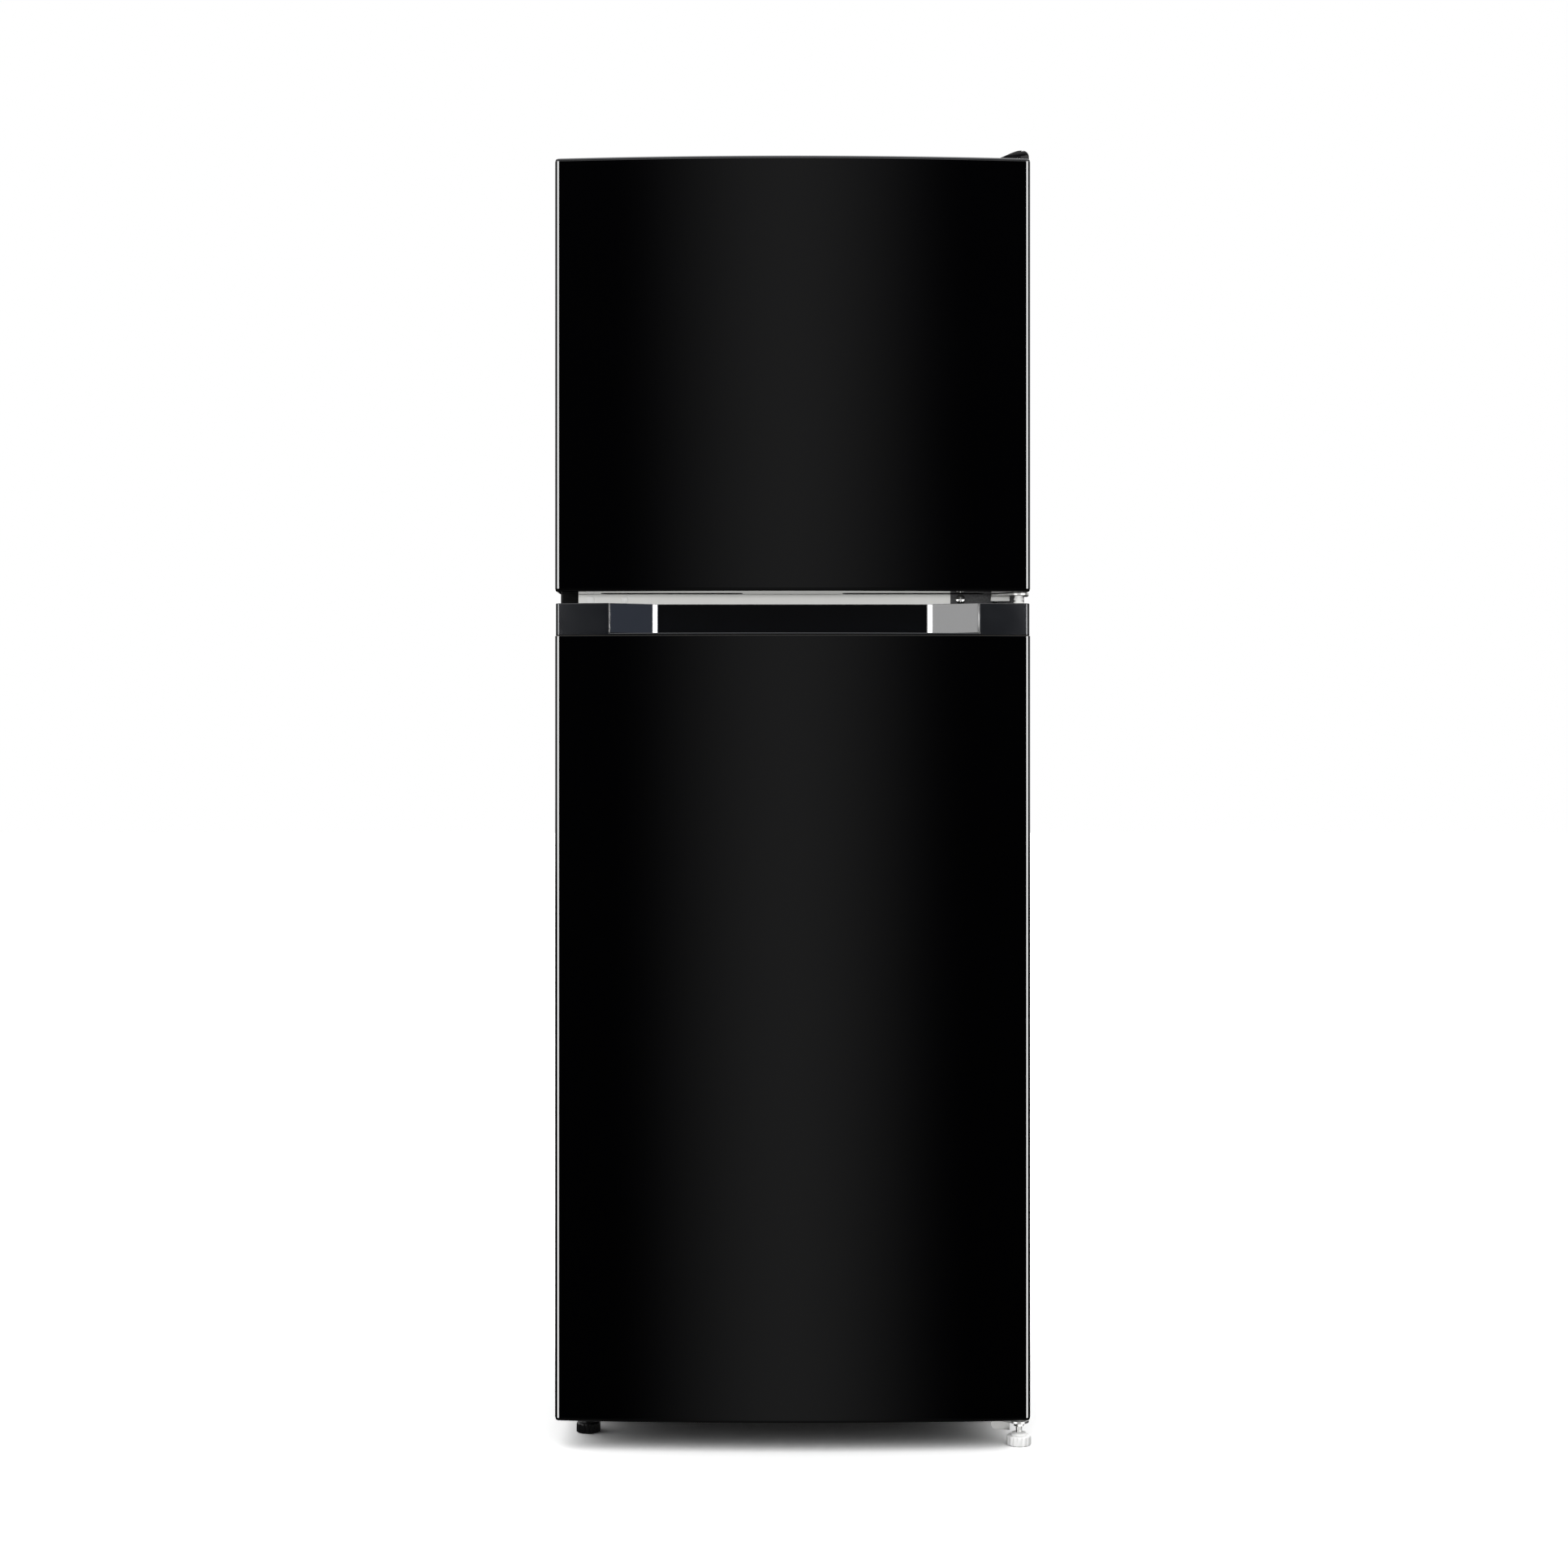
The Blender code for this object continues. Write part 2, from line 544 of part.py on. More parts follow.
# ---------------------------------------------------------------- hinges and feet
ARM_TIP_R = 0.0125
MID_ARM_Z = (1.0690, 1.0720)
MID_PLATE_X = (0.2011, 0.290)
MID_PLATE_Z = (1.0525, 1.0780)
FLANGE_X = (0.2515, 0.2750)  # the stiffening flange that hangs from a hinge arm
BOTTOM_ARM_Z = (0.0285, 0.0315)
NUT_R = 0.0078
NUT_HEIGHT = 0.0045


def arm(root, z, back, tip):
    """A flat hinge arm with a round end about the pin. root is its x range where it meets the cabinet."""
    shoulder = -0.2585
    start = [(root[0], back), (root[0], shoulder), (FLANGE_X[0], shoulder), (FLANGE_X[0], -0.2680)]
    end = arc((HINGE.x, HINGE.y), tip, 215, 360, 8)
    return prism(start + end + [(HINGE.x + tip, -0.262), (root[1], shoulder), (root[1], back)], *z)


COVER_Y = (-0.2965, -0.176)


def build_top_hinge():
    """The plate on the roof that holds the freezer door's upper pin, and its plastic cover."""
    z0 = CABINET_Z[1] + GAP
    plate = block((0.2700, 0.2945), (HINGE.y, -0.182), (z0, z0 + HINGE_PLATE))
    tip = rod(HINGE, 0.0094, z0 + 0.0001, z0 + HINGE_PLATE - 0.0001)
    pin = rod(HINGE, PIN_R, FREEZER_DOOR_Z[1] - 0.0185, z0 + HINGE_PLATE / 2)
    node("top_hinge_bracket", "zinc_steel", plate, joins=[tip, pin])

    crest = 1.6266
    crown = [(0.2966, crest - 0.0060), (0.2955, crest - 0.0035), (0.2925, crest - 0.0012), (0.2865, crest)]
    crown += [(0.2815, crest - 0.0006), (0.2775, crest - 0.0020)]
    body = prism([(0.2595, z0), (0.2966, z0)] + crown, *COVER_Y, "Y")
    lip_x = (0.2599, 0.2962)
    lip = block(lip_x, (COVER_Y[0] + 0.0003, CABINET_FRONT_Y - 0.001), (z0 - 0.0012, z0 + 0.001))
    cavity = block((0.2697, 0.2950), (COVER_Y[0] + 0.0012, COVER_Y[1] - 0.0012), (z0 - 0.01, z0 + HINGE_PLATE + GAP))
    node("top_hinge_cover", "black_plastic", body, joins=[lip], cuts=[cavity])


def build_mid_hinge():
    """The bracket screwed to the mullion, with one pin for both doors, and its nylon bush."""
    plate_y = (CABINET_FRONT_Y - GAP - HINGE_PLATE, CABINET_FRONT_Y - GAP)
    plate = block(MID_PLATE_X, plate_y, MID_PLATE_Z)
    tongue = arm((0.2665, 0.2897), MID_ARM_Z, plate_y[1] - 0.001, tip=0.0125)
    flange = block(FLANGE_X, (-0.2615, -0.2588), (1.0635, MID_ARM_Z[1] - 0.001))
    pin = rod(HINGE, PIN_R, FRIDGE_DOOR_Z[1] - 0.0185, FREEZER_DOOR_Z[0] + 0.0185)
    holes = [
        rod(Vector((x, plate_y[0], SCREW_Z)), SCREW_R + GAP, -0.01, 0.01, "Y", sides=16)
        for x in MULLION_SCREWS.values()
    ]
    node("mid_hinge_bracket", "zinc_steel", plate, joins=[tongue, flange, pin], cuts=holes)
    low = FRIDGE_DOOR_Z[1] + GAP
    high = MID_ARM_Z[0] - GAP
    bush = turned([(0, low), (0.0068, low), (0.0068, low + 0.003), (0.0055, low + 0.004), (0.0055, high), (0, high)], HINGE)
    node("mid_hinge_bush", "white_plastic", bush, cuts=[rod(HINGE, PIN_R + GAP, low - 0.01, high + 0.01)])


def build_bottom_hinge():
    """The bracket under the cabinet: it carries the fridge door's lower pin and the right foot."""
    low, high = BOTTOM_ARM_Z
    pan = CABINET_Z[0] - GAP
    tongue = arm((0.2520, 0.2940), BOTTOM_ARM_Z, -0.2395, tip=0.0125)
    riser = block((0.2522, 0.2938), (-0.242, -0.239), (low, pan - 0.001))
    foot = block((0.2520, 0.2940), (-0.241, -0.170), (pan - HINGE_PLATE, pan))
    skirt_line = [(FLANGE_X[1], high - 0.001), (FLANGE_X[0], high - 0.001), (FLANGE_X[0], 0.0205)]
    skirt_line += arc((FLANGE_X[0] + 0.005, 0.0200), 0.005, 190, 255, 4) + [(FLANGE_X[1], 0.0138)]
    skirt = prism(skirt_line, -0.2615, -0.2588, "Y")
    nut = rod(HINGE, NUT_R, low - NUT_HEIGHT, low + 0.001, sides=18)
    pin = rod(HINGE, PIN_R, low + 0.001, FRIDGE_DOOR_Z[0] + 0.0185)
    thread = rod(HINGE, STEM_R + GAP, low - NUT_HEIGHT - 0.01, low)
    node("bottom_hinge_bracket", "zinc_steel", tongue, joins=[riser, foot, skirt, nut, pin], cuts=[thread])


def fluted_foot(name, look, place, stem_top):
    """A levelling foot: a fluted plastic knob on a threaded stem."""
    axis = pivot(f"{name}_axis", place)
    flutes = 12
    steps = flutes * 4
    rim = []
    for i in range(steps):
        angle = 2 * math.pi * i / steps
        radius = FOOT_R - 0.0008 * (1 - math.cos(flutes * angle)) / 2
        rim.append((place.x + radius * math.cos(angle), place.y + radius * math.sin(angle)))
    knob = prism(rim, 0.0, FOOT_HEIGHT - 0.002)
    shoulder = turned(
        [(0, 0.004), (FOOT_R - 0.0012, 0.004), (FOOT_R - 0.0012, FOOT_HEIGHT - 0.0012)]
        + [(FOOT_R - 0.003, FOOT_HEIGHT), (0, FOOT_HEIGHT)],
        place,
    )
    stem = rod(place, STEM_R, FOOT_HEIGHT - 0.002, stem_top)
    node(name, look, knob, joins=[shoulder, stem], on=axis)


def build_feet():
    fluted_foot("right_foot", "foot_white", Vector((HINGE.x, HINGE.y, 0.0)), BOTTOM_ARM_Z[0] - GAP)
    fluted_foot("left_foot", "black_plastic", LEFT_FOOT, CABINET_Z[0] - GAP)


# ---------------------------------------------------------------- inside the rooms
def glass_shelf(name, half, z, back, on=None):
    """A tempered glass shelf in a slim white frame, as one slab with a raised rear edge."""
    slab = block((-half, half), (SHELF_FRONT_Y, back), (z, z + 0.006))
    clear = half - RIB - 0.001
    nose = block((-clear, clear), (SHELF_FRONT_Y - 0.001, SHELF_FRONT_Y + 0.012), (z - 0.010, z + 0.008))
    stop = block((-half + 0.001, half - 0.001), (back - 0.009, back - 0.001), (z + 0.002, z + 0.018))
    return node(name, "glass", slab, joins=[nose, stop], on=on)


def build_shelves():
    half = FRIDGE_HALF - 0.0015
    for name, z in SHELF_HEIGHTS.items():
        glass_shelf(name, half, z, 0.215)
    glass_shelf("crisper_cover", half, CRISPER_COVER_Z, 0.215)
    glass_shelf("freezer_shelf", FREEZER_HALF - 0.0015, FREEZER_SHELF_Z, 0.168)


CRISPER_HALF = 0.235
CRISPER_Z = (0.109, 0.292)
CRISPER_Y = (SHELF_FRONT_Y + 0.002, STEP_Y - 0.006)


def build_crisper():
    """The vegetable drawer: a deep open tub with a grip moulded into its front."""
    axis = pivot("crisper_axis", Vector((0, CRISPER_Y[0], CRISPER_Z[0])))
    wall = 0.0025
    front = 0.006
    tub = block((-CRISPER_HALF, CRISPER_HALF), CRISPER_Y, CRISPER_Z)
    room = block(
        (-CRISPER_HALF + wall, CRISPER_HALF - wall),
        (CRISPER_Y[0] + front, CRISPER_Y[1] - wall),
        (CRISPER_Z[0] + wall, CRISPER_Z[1] + 0.01),
    )
    dip_top = CRISPER_Z[1] + 0.005
    dip = prism(
        [(-0.085, dip_top), (-0.075, CRISPER_Z[1] - 0.022), (0.075, CRISPER_Z[1] - 0.022), (0.085, dip_top)],
        CRISPER_Y[0] - 0.01,
        CRISPER_Y[0] + front + 0.01,
        "Y",
    )
    node("crisper_drawer", "clear_plastic", tub, cuts=[room, dip], on=axis)


CONTROL_Y = (-0.100, 0.100)
CONTROL_Z = (0.985, FRIDGE_Z[1] - GAP)
CONTROL_HALF = 0.120
KNOB = Vector((0.060, CONTROL_Y[0], 1.0075))
KNOB_R = 0.018
LENS_X = (-0.105, 0.020)
LENS_Y = (-0.070, 0.080)
SWITCH_X = 0.150
SWITCH_Z = 1.0075
SWITCH_Y = (-0.216, -0.080)
SWITCH_TIP = DYKE_Y + 0.0004
SWITCH_END = -0.192
PLUNGER_R = 0.004
PLUNGER_TRAVEL = 0.004


def build_control():
    """The housing on the fridge ceiling: lamp lens below, thermostat knob in front."""
    body = block((-CONTROL_HALF, CONTROL_HALF), CONTROL_Y, CONTROL_Z)
    wall = 0.0025
    room = block(
        (-CONTROL_HALF + wall, CONTROL_HALF - wall),
        (CONTROL_Y[0] + wall, CONTROL_Y[1] - wall),
        (CONTROL_Z[0] + wall, CONTROL_Z[1] + 0.01),
    )
    window = block(LENS_X, LENS_Y, (CONTROL_Z[0] - 0.01, CONTROL_Z[0] + 0.01))
    obj = node("control_housing", "white_plastic", body, cuts=[room, window])
    boss = block((SWITCH_X - 0.013, SWITCH_X + 0.013), SWITCH_Y, (SWITCH_Z - 0.012, CONTROL_Z[1] - 0.0002))
    bridge = block((CONTROL_HALF - 0.001, SWITCH_X - 0.012), (-0.099, -0.081), (SWITCH_Z - 0.011, CONTROL_Z[1] - 0.001))
    add_joins(obj, [boss, bridge])
    bore = obj.modifiers.new("bore", "BOOLEAN")
    bore.object = helper(
        "switch_bore",
        rod(Vector((SWITCH_X, 0, SWITCH_Z)), PLUNGER_R + GAP, -0.23, SWITCH_END + PLUNGER_TRAVEL + 0.001, "Y"),
    )
    lens = block(
        (LENS_X[0] + GAP, LENS_X[1] - GAP), (LENS_Y[0] + GAP, LENS_Y[1] - GAP), (CONTROL_Z[0] - 0.006, CONTROL_Z[0] + 0.002)
    )
    node("lamp_lens", "clear_plastic", lens)

    axis = pivot("thermostat_axis", KNOB)
    dial = turned(
        [(0, -0.0105), (KNOB_R - 0.003, -0.0105), (KNOB_R - 0.001, -0.0085), (KNOB_R, -GAP), (0, -GAP)],
        KNOB,
        axis="Y",
        sides=32,
    )
    bar = block((KNOB.x - 0.0025, KNOB.x + 0.0025), (KNOB.y - 0.0145, KNOB.y - 0.009), (KNOB.z - 0.014, KNOB.z + 0.014))
    node("thermostat_knob", "white_plastic", dial, joins=[bar], on=axis)


def build_light_switch():
    """The plunger of the lamp's door switch, which the closed door faces."""
    centre = Vector((SWITCH_X, 0, SWITCH_Z))
    axis = pivot("light_switch_axis", Vector((SWITCH_X, SWITCH_TIP, SWITCH_Z)))
    node("light_switch_plunger", "white_plastic", rod(centre, PLUNGER_R, SWITCH_TIP, SWITCH_END, "Y"), on=axis)


def slots(centres, size, y, z):
    """Cutters for a row of upright or level air slots."""
    return [block((x - size / 2, x + size / 2), y, z) for x in centres]


FAN = Vector((0.0, 0.2105, 1.462))
FAN_R = 0.044


def build_air_system():
    """The cover over the evaporator, the fan behind it, and the air duct on the fridge's back wall."""
    y = (0.176, 0.1795)
    z = (FREEZER_Z[0] + 0.002, FREEZER_Z[1] - 0.002)
    half = FREEZER_HALF - 0.0015
    cover = block((-half, half), y, z)
    through = (y[0] - 0.01, y[1] + 0.01)
    rows = [-0.030, -0.015, 0.0, 0.015, 0.030]
    vents = []
    for dz in rows:
        reach = math.sqrt(FAN_R**2 - dz**2) * 0.9
        vents.append(block((-reach, reach), through, (FAN.z + dz - 0.0035, FAN.z + dz + 0.0035)))
    vents += slots([-0.19 + 0.0345 * i for i in range(12)], 0.008, through, (1.125, 1.150))
    node("freezer_air_cover", "white_plastic", cover, cuts=vents)

    axis = pivot("evaporator_fan_axis", FAN)
    hub = rod(FAN, 0.013, -0.006, 0.010, "Y")
    blades = []
    count = 5
    for i in range(count):
        blade = block((0.010, FAN_R - 0.003), (-0.0011, 0.0011), (-0.013, 0.013))
        turn = Matrix.Rotation(2 * math.pi * i / count, 4, "Y") @ Matrix.Rotation(math.radians(28), 4, "X")
        blade.transform(Matrix.Translation(FAN) @ turn)
        blades.append(blade)
    node("evaporator_fan", "black_plastic", hub, joins=blades, on=axis)
    can = rod(FAN, 0.019, 0.0105, 0.038, "Y")
    strut = block((-0.060, 0.060), (FAN.y + 0.036, FREEZER_BACK_Y - GAP), (FAN.z - 0.008, FAN.z + 0.008))
    node("fan_motor", "galvanised", can, joins=[strut])

    comb = [(-0.190, 1.165), (-0.190, 1.355)]
    pitch = 0.0158
    for i in range(24):
        x = -0.190 + pitch * i
        comb += [(x + 0.004, 1.355), (x + 0.004, 1.175), (x + pitch, 1.175), (x + pitch, 1.355)]
    comb += [(-0.190 + pitch * 24 + 0.004, 1.355), (-0.190 + pitch * 24 + 0.004, 1.165)]
    node("evaporator", "aluminium", prism(comb, 0.200, 0.248, "Y"))

    duct_y = (FRIDGE_BACK_Y - 0.016, FRIDGE_BACK_Y - GAP)
    duct = block((-0.085, 0.085), duct_y, (0.345, 0.975))
    openings = [
        block((-0.055, 0.055), (duct_y[0] - 0.01, duct_y[0] + 0.008), (zz, zz + 0.012))
        for zz in (0.44, 0.47, 0.66, 0.69, 0.88, 0.91)
    ]
    node("fridge_air_duct", "white_plastic", duct, cuts=openings)


def build_ice_tray():
    z = FREEZER_SHELF_Z + 0.006 + GAP
    outside = block((-0.200, -0.070), (-0.110, 0.150), (z, z + 0.036))
    inside = block((-0.196, -0.074), (-0.106, 0.146), (z + 0.004, z + 0.05))
    node("ice_tray", "white_plastic", outside, cuts=[inside])


# ---------------------------------------------------------------- the machine compartment
COMPRESSOR = Vector((0.105, 0.232, 0.0))
MACHINE_PLATE_Z = (0.0500, 0.0520)
ROLLER_X = 0.262
ROLLER_Y = 0.262


def tube(name, look, points, radius, on=None):
    """A bent metal pipe along a smooth line through its points."""
    curve = bpy.data.curves.new(name, "CURVE")
    curve.dimensions = "3D"
    curve.bevel_depth = radius
    curve.bevel_resolution = 2
    curve.use_fill_caps = True
    spline = curve.splines.new("POLY")
    line = smooth_line([Vector(p) for p in points])
    spline.points.add(len(line) - 1)
    for point, place in zip(spline.points, line):
        point.co = (*place, 1.0)
    curve.materials.append(material(look))
    obj = bpy.data.objects.new(name, curve)
    bpy.context.scene.collection.objects.link(obj)
    return obj


def smooth_line(points, steps=5):
    """Points along a Catmull-Rom curve through the given ones."""
    ends = [2 * points[0] - points[1]] + points + [2 * points[-1] - points[-2]]
    line = []
    for a, b, c, d in zip(ends, ends[1:], ends[2:], ends[3:]):
        for i in range(steps):
            t = i / steps
            line.append(
                0.5 * ((2 * b) + (c - a) * t + (2 * a - 5 * b + 4 * c - d) * t**2 + (3 * b - a - 3 * c + d) * t**3)
            )
    return line + [points[-1]]


def build_machine_plate():
    """The steel plate that ties both sides together, with a fork for a roller at each end."""
    half = CABINET_HALF - SHELL - GAP
    plate = block((-half, half), (0.150, 0.312), MACHINE_PLATE_Z)
    joins = [block((-half, half), (0.150, 0.152), (0.051, 0.066)), block((-half, half), (0.310, 0.312), (0.051, 0.066))]
    for side in (-1, 1):
        for dx in (-0.012, 0.012):
            x = side * ROLLER_X + dx
            joins.append(block((x - 0.001, x + 0.001), (ROLLER_Y - 0.016, ROLLER_Y + 0.016), (0.013, 0.051)))
        centre = Vector((side * ROLLER_X, ROLLER_Y, ROLLER_R))
        joins.append(rod(centre, 0.003, -0.0145, 0.0145, "X"))
    node("compressor_base", "galvanised", plate, joins=joins)
    for side, name in ((-1, "left_roller"), (1, "right_roller")):
        centre = Vector((side * ROLLER_X, ROLLER_Y, ROLLER_R))
        axis = pivot(f"{name}_axis", centre)
        wheel = turned(
            [(0, -0.0095), (ROLLER_R - 0.001, -0.0095), (ROLLER_R, -0.008), (ROLLER_R, 0.008)]
            + [(ROLLER_R - 0.001, 0.0095), (0, 0.0095)],
            centre,
            "X",
        )
        node(name, "black_plastic", wheel, cuts=[rod(centre, 0.0033, -0.02, 0.02, "X")], on=axis)


def build_compressor():
    """The hermetic compressor on its four grommets, with its terminal box, pipes and filter drier."""
    z0 = MACHINE_PLATE_Z[1] + GAP
    radius = 0.066
    dome = [(0, z0 + 0.016), (radius * 0.80, z0 + 0.016), (radius, z0 + 0.034), (radius, z0 + 0.092)]
    dome += [
        (radius * math.cos(math.radians(a)), z0 + 0.092 + 0.052 * math.sin(math.radians(a))) for a in (20, 40, 60, 75, 90)
    ]
    dome[-1] = (0, z0 + 0.144)
    can = turned(dome, COMPRESSOR, sides=28)
    plate = block((COMPRESSOR.x - 0.080, COMPRESSOR.x + 0.080), (0.166, 0.298), (z0 + 0.012, z0 + 0.017))
    mounts = [
        rod(COMPRESSOR + Vector((dx, dy, 0)), 0.009, z0, z0 + 0.015, sides=12)
        for dx in (-0.068, 0.068)
        for dy in (-0.052, 0.052)
    ]
    side = COMPRESSOR.x - radius
    box = block((side - 0.034, side + 0.010), (0.205, 0.262), (0.095, 0.150))
    node("compressor", "compressor_black", can, joins=[plate, box, *mounts])
    tray_z = (0.202, 0.236)
    tray = block((-0.060, 0.235), (0.160, 0.300), tray_z)
    hollow = block((-0.0575, 0.2325), (0.1625, 0.2975), (tray_z[0] + 0.0025, tray_z[1] + 0.01))
    node("drip_tray", "white_plastic", tray, cuts=[hollow])
    drier = [(0, -0.045), (0.003, -0.045), (0.004, -0.034), (0.010, -0.026), (0.010, 0.026), (0.004, 0.034)]
    drier += [(0.003, 0.045), (0, 0.045)]
    node("filter_drier", "copper", turned(drier, Vector((-0.165, 0.252, 0.150)), sides=16))


def build_pipes():
    discharge = [(0.176, 0.232, 0.100), (0.200, 0.236, 0.100), (0.222, 0.250, 0.098), (0.232, 0.268, 0.092)]
    discharge += [(0.236, 0.288, 0.082), (0.222, 0.300, 0.074), (0.190, 0.303, 0.072), (0.120, 0.303, 0.072)]
    discharge += [(0.020, 0.303, 0.072), (-0.080, 0.303, 0.072), (-0.150, 0.302, 0.073), (-0.200, 0.292, 0.078)]
    discharge += [(-0.222, 0.262, 0.086), (-0.226, 0.230, 0.110), (-0.226, 0.216, 0.150), (-0.226, 0.212, 0.240)]
    tube("discharge_pipe", "copper", discharge, 0.003)
    suction = [(0.034, 0.196, 0.088), (0.016, 0.186, 0.088), (-0.010, 0.176, 0.092), (-0.045, 0.168, 0.104)]
    suction += [(-0.075, 0.164, 0.130), (-0.090, 0.164, 0.165), (-0.094, 0.166, 0.200), (-0.094, 0.168, 0.244)]
    tube("suction_pipe", "copper", suction, 0.004)


def build_cord_gland():
    """The grommet in the machine compartment's wall that the supply cord would pass through."""
    centre = Vector((-0.130, MACHINE_Y + GAP, 0.090))
    ring = turned([(0, 0.0), (0.012, 0.0), (0.012, 0.004), (0.009, 0.010), (0, 0.010)], centre, "Y")
    node("cord_gland", "black_plastic", ring, cuts=[rod(centre, 0.0045, 0.007, 0.02, "Y")])


def main():
    for obj in list(bpy.data.objects):
        bpy.data.objects.remove(obj, do_unlink=True)
    build_freezer_door()
    build_fridge_door()
    build_shell()
    build_base_and_back()
    build_foam()
    build_liners()
    build_mullion()
    build_top_hinge()
    build_mid_hinge()
    build_bottom_hinge()
    build_feet()
    build_shelves()
    build_crisper()
    build_control()
    build_light_switch()
    build_air_system()
    build_ice_tray()
    build_machine_plate()
    build_compressor()
    build_pipes()
    build_cord_gland()


main()
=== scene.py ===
"""The looks of a black top freezer refrigerator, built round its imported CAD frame."""

import json
import math

import bmesh
import bpy
from mathutils import Matrix, Vector

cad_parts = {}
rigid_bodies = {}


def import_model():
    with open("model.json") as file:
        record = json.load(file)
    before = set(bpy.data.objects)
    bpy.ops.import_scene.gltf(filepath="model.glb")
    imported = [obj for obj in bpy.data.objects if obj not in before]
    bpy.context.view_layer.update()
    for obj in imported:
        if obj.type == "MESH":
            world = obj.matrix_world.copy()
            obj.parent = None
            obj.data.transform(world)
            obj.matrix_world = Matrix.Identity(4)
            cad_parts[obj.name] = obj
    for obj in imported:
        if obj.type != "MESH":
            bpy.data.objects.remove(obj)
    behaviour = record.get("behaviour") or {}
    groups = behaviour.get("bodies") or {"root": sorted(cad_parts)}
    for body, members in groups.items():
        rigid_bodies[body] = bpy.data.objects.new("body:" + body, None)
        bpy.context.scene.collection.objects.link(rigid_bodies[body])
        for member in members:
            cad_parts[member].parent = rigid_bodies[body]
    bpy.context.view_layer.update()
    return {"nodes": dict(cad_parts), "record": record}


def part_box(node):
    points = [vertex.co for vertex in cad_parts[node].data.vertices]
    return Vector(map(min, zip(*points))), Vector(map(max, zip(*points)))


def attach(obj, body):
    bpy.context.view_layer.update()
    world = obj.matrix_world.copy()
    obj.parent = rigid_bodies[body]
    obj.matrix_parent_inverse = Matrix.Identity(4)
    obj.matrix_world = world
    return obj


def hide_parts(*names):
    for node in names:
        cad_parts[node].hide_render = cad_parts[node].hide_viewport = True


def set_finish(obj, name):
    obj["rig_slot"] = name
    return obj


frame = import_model()


def corners(node):
    """A CAD node's box as (x0, x1), (y0, y1), (z0, z1)."""
    low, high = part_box(node)
    return tuple((low[i], high[i]) for i in range(3))


# ================================================================ materials
class Nodes:
    """A material's node tree, with short calls for what this script needs."""

    def __init__(self, name):
        self.material = bpy.data.materials.new(name)
        self.material.use_nodes = True
        self.tree = self.material.node_tree
        self.shader = self.tree.nodes["Principled BSDF"]
        self.place = self.add("ShaderNodeTexCoord").outputs["Object"]

    def add(self, kind, inputs=(), **settings):
        made = self.tree.nodes.new(kind)
        for key, value in settings.items():
            setattr(made, key, value)
        for key, value in dict(inputs).items():
            if isinstance(value, bpy.types.NodeSocket):
                self.tree.links.new(value, made.inputs[key])
            else:
                made.inputs[key].default_value = value
        return made

    def set(self, **values):
        for key, value in values.items():
            self.shader.inputs[key.replace("_", " ")].default_value = value

    def link(self, output, key):
        self.tree.links.new(output, self.shader.inputs[key])

    def noise(self, scale, detail=3.0, stretch=(1, 1, 1)):
        mapped = self.add("ShaderNodeMapping", {"Vector": self.place, "Scale": stretch})
        return self.add("ShaderNodeTexNoise", {"Vector": mapped.outputs[0], "Scale": scale,
            "Detail": detail}).outputs[0]

    def cells(self, scale, output="Color", feature="F1"):
        made = self.add("ShaderNodeTexVoronoi", {"Vector": self.place, "Scale": scale}, feature=feature)
        return made.outputs[output]

    def ramp(self, value, low, high, stops=(0.3, 0.7)):
        """A colour that follows a value, from low to high."""
        made = self.add("ShaderNodeValToRGB", {"Fac": value})
        for element, place, colour in zip(made.color_ramp.elements, stops, (low, high)):
            element.position = place
            element.color = (*colour, 1)
        return made.outputs[0]

    def spread(self, value, low, high, start=0.3, end=0.7):
        """A number that follows a value, from low to high."""
        made = self.add(
            "ShaderNodeMapRange", {"Value": value, "From Min": start, "From Max": end, "To Min": low,
                "To Max": high}
        )
        return made.outputs[0]

    def bump(self, height, strength, distance):
        made = self.add("ShaderNodeBump", {"Height": height, "Strength": strength, "Distance": distance})
        self.link(made.outputs[0], "Normal")
        return made


def shade(colour, change):
    """A colour made lighter or darker."""
    return tuple(max(0.0, c * change) for c in colour)


def plain(name, colour, rough, change=0.06, scale=60.0, bump=0.03, grain=900.0, distance=0.0002, **values):
    """A moulded, painted or rolled surface: soft clouds in colour and roughness, and a fine grain."""
    n = Nodes(name)
    n.set(**values)
    clouds = n.noise(scale, 3.0)
    n.link(n.ramp(clouds, shade(colour, 1 - change), shade(colour, 1 + change)), "Base Color")
    n.link(n.spread(clouds, rough[0], rough[1]), "Roughness")
    n.bump(n.noise(grain, 2.0), bump, distance)
    return n.material


def textured_paint(name, colour, rough):
    """Pebbled black enamel, as on a cabinet's sides."""
    n = Nodes(name)
    n.link(n.ramp(n.noise(25.0), shade(colour, 0.9), shade(colour, 1.15)), "Base Color")
    n.link(n.spread(n.noise(300.0), rough[0], rough[1]), "Roughness")
    pebble = n.spread(n.cells(420.0, "Distance", "SMOOTH_F1"), 0.0, 1.0, 0.0, 0.7)
    n.bump(pebble, 0.35, 0.0006)
    return n.material


def spangle(name, colour, rough):
    """Galvanised sheet with its crystal spangle."""
    n = Nodes(name)
    n.set(Metallic=1.0)
    cell = n.cells(220.0)
    n.link(n.ramp(cell, shade(colour, 0.95), shade(colour, 1.04), (0.2, 0.8)), "Base Color")
    n.link(n.spread(cell, rough[0], rough[1], 0.2, 0.8), "Roughness")
    n.bump(n.noise(700.0, 2.0), 0.05, 0.0002)
    return n.material


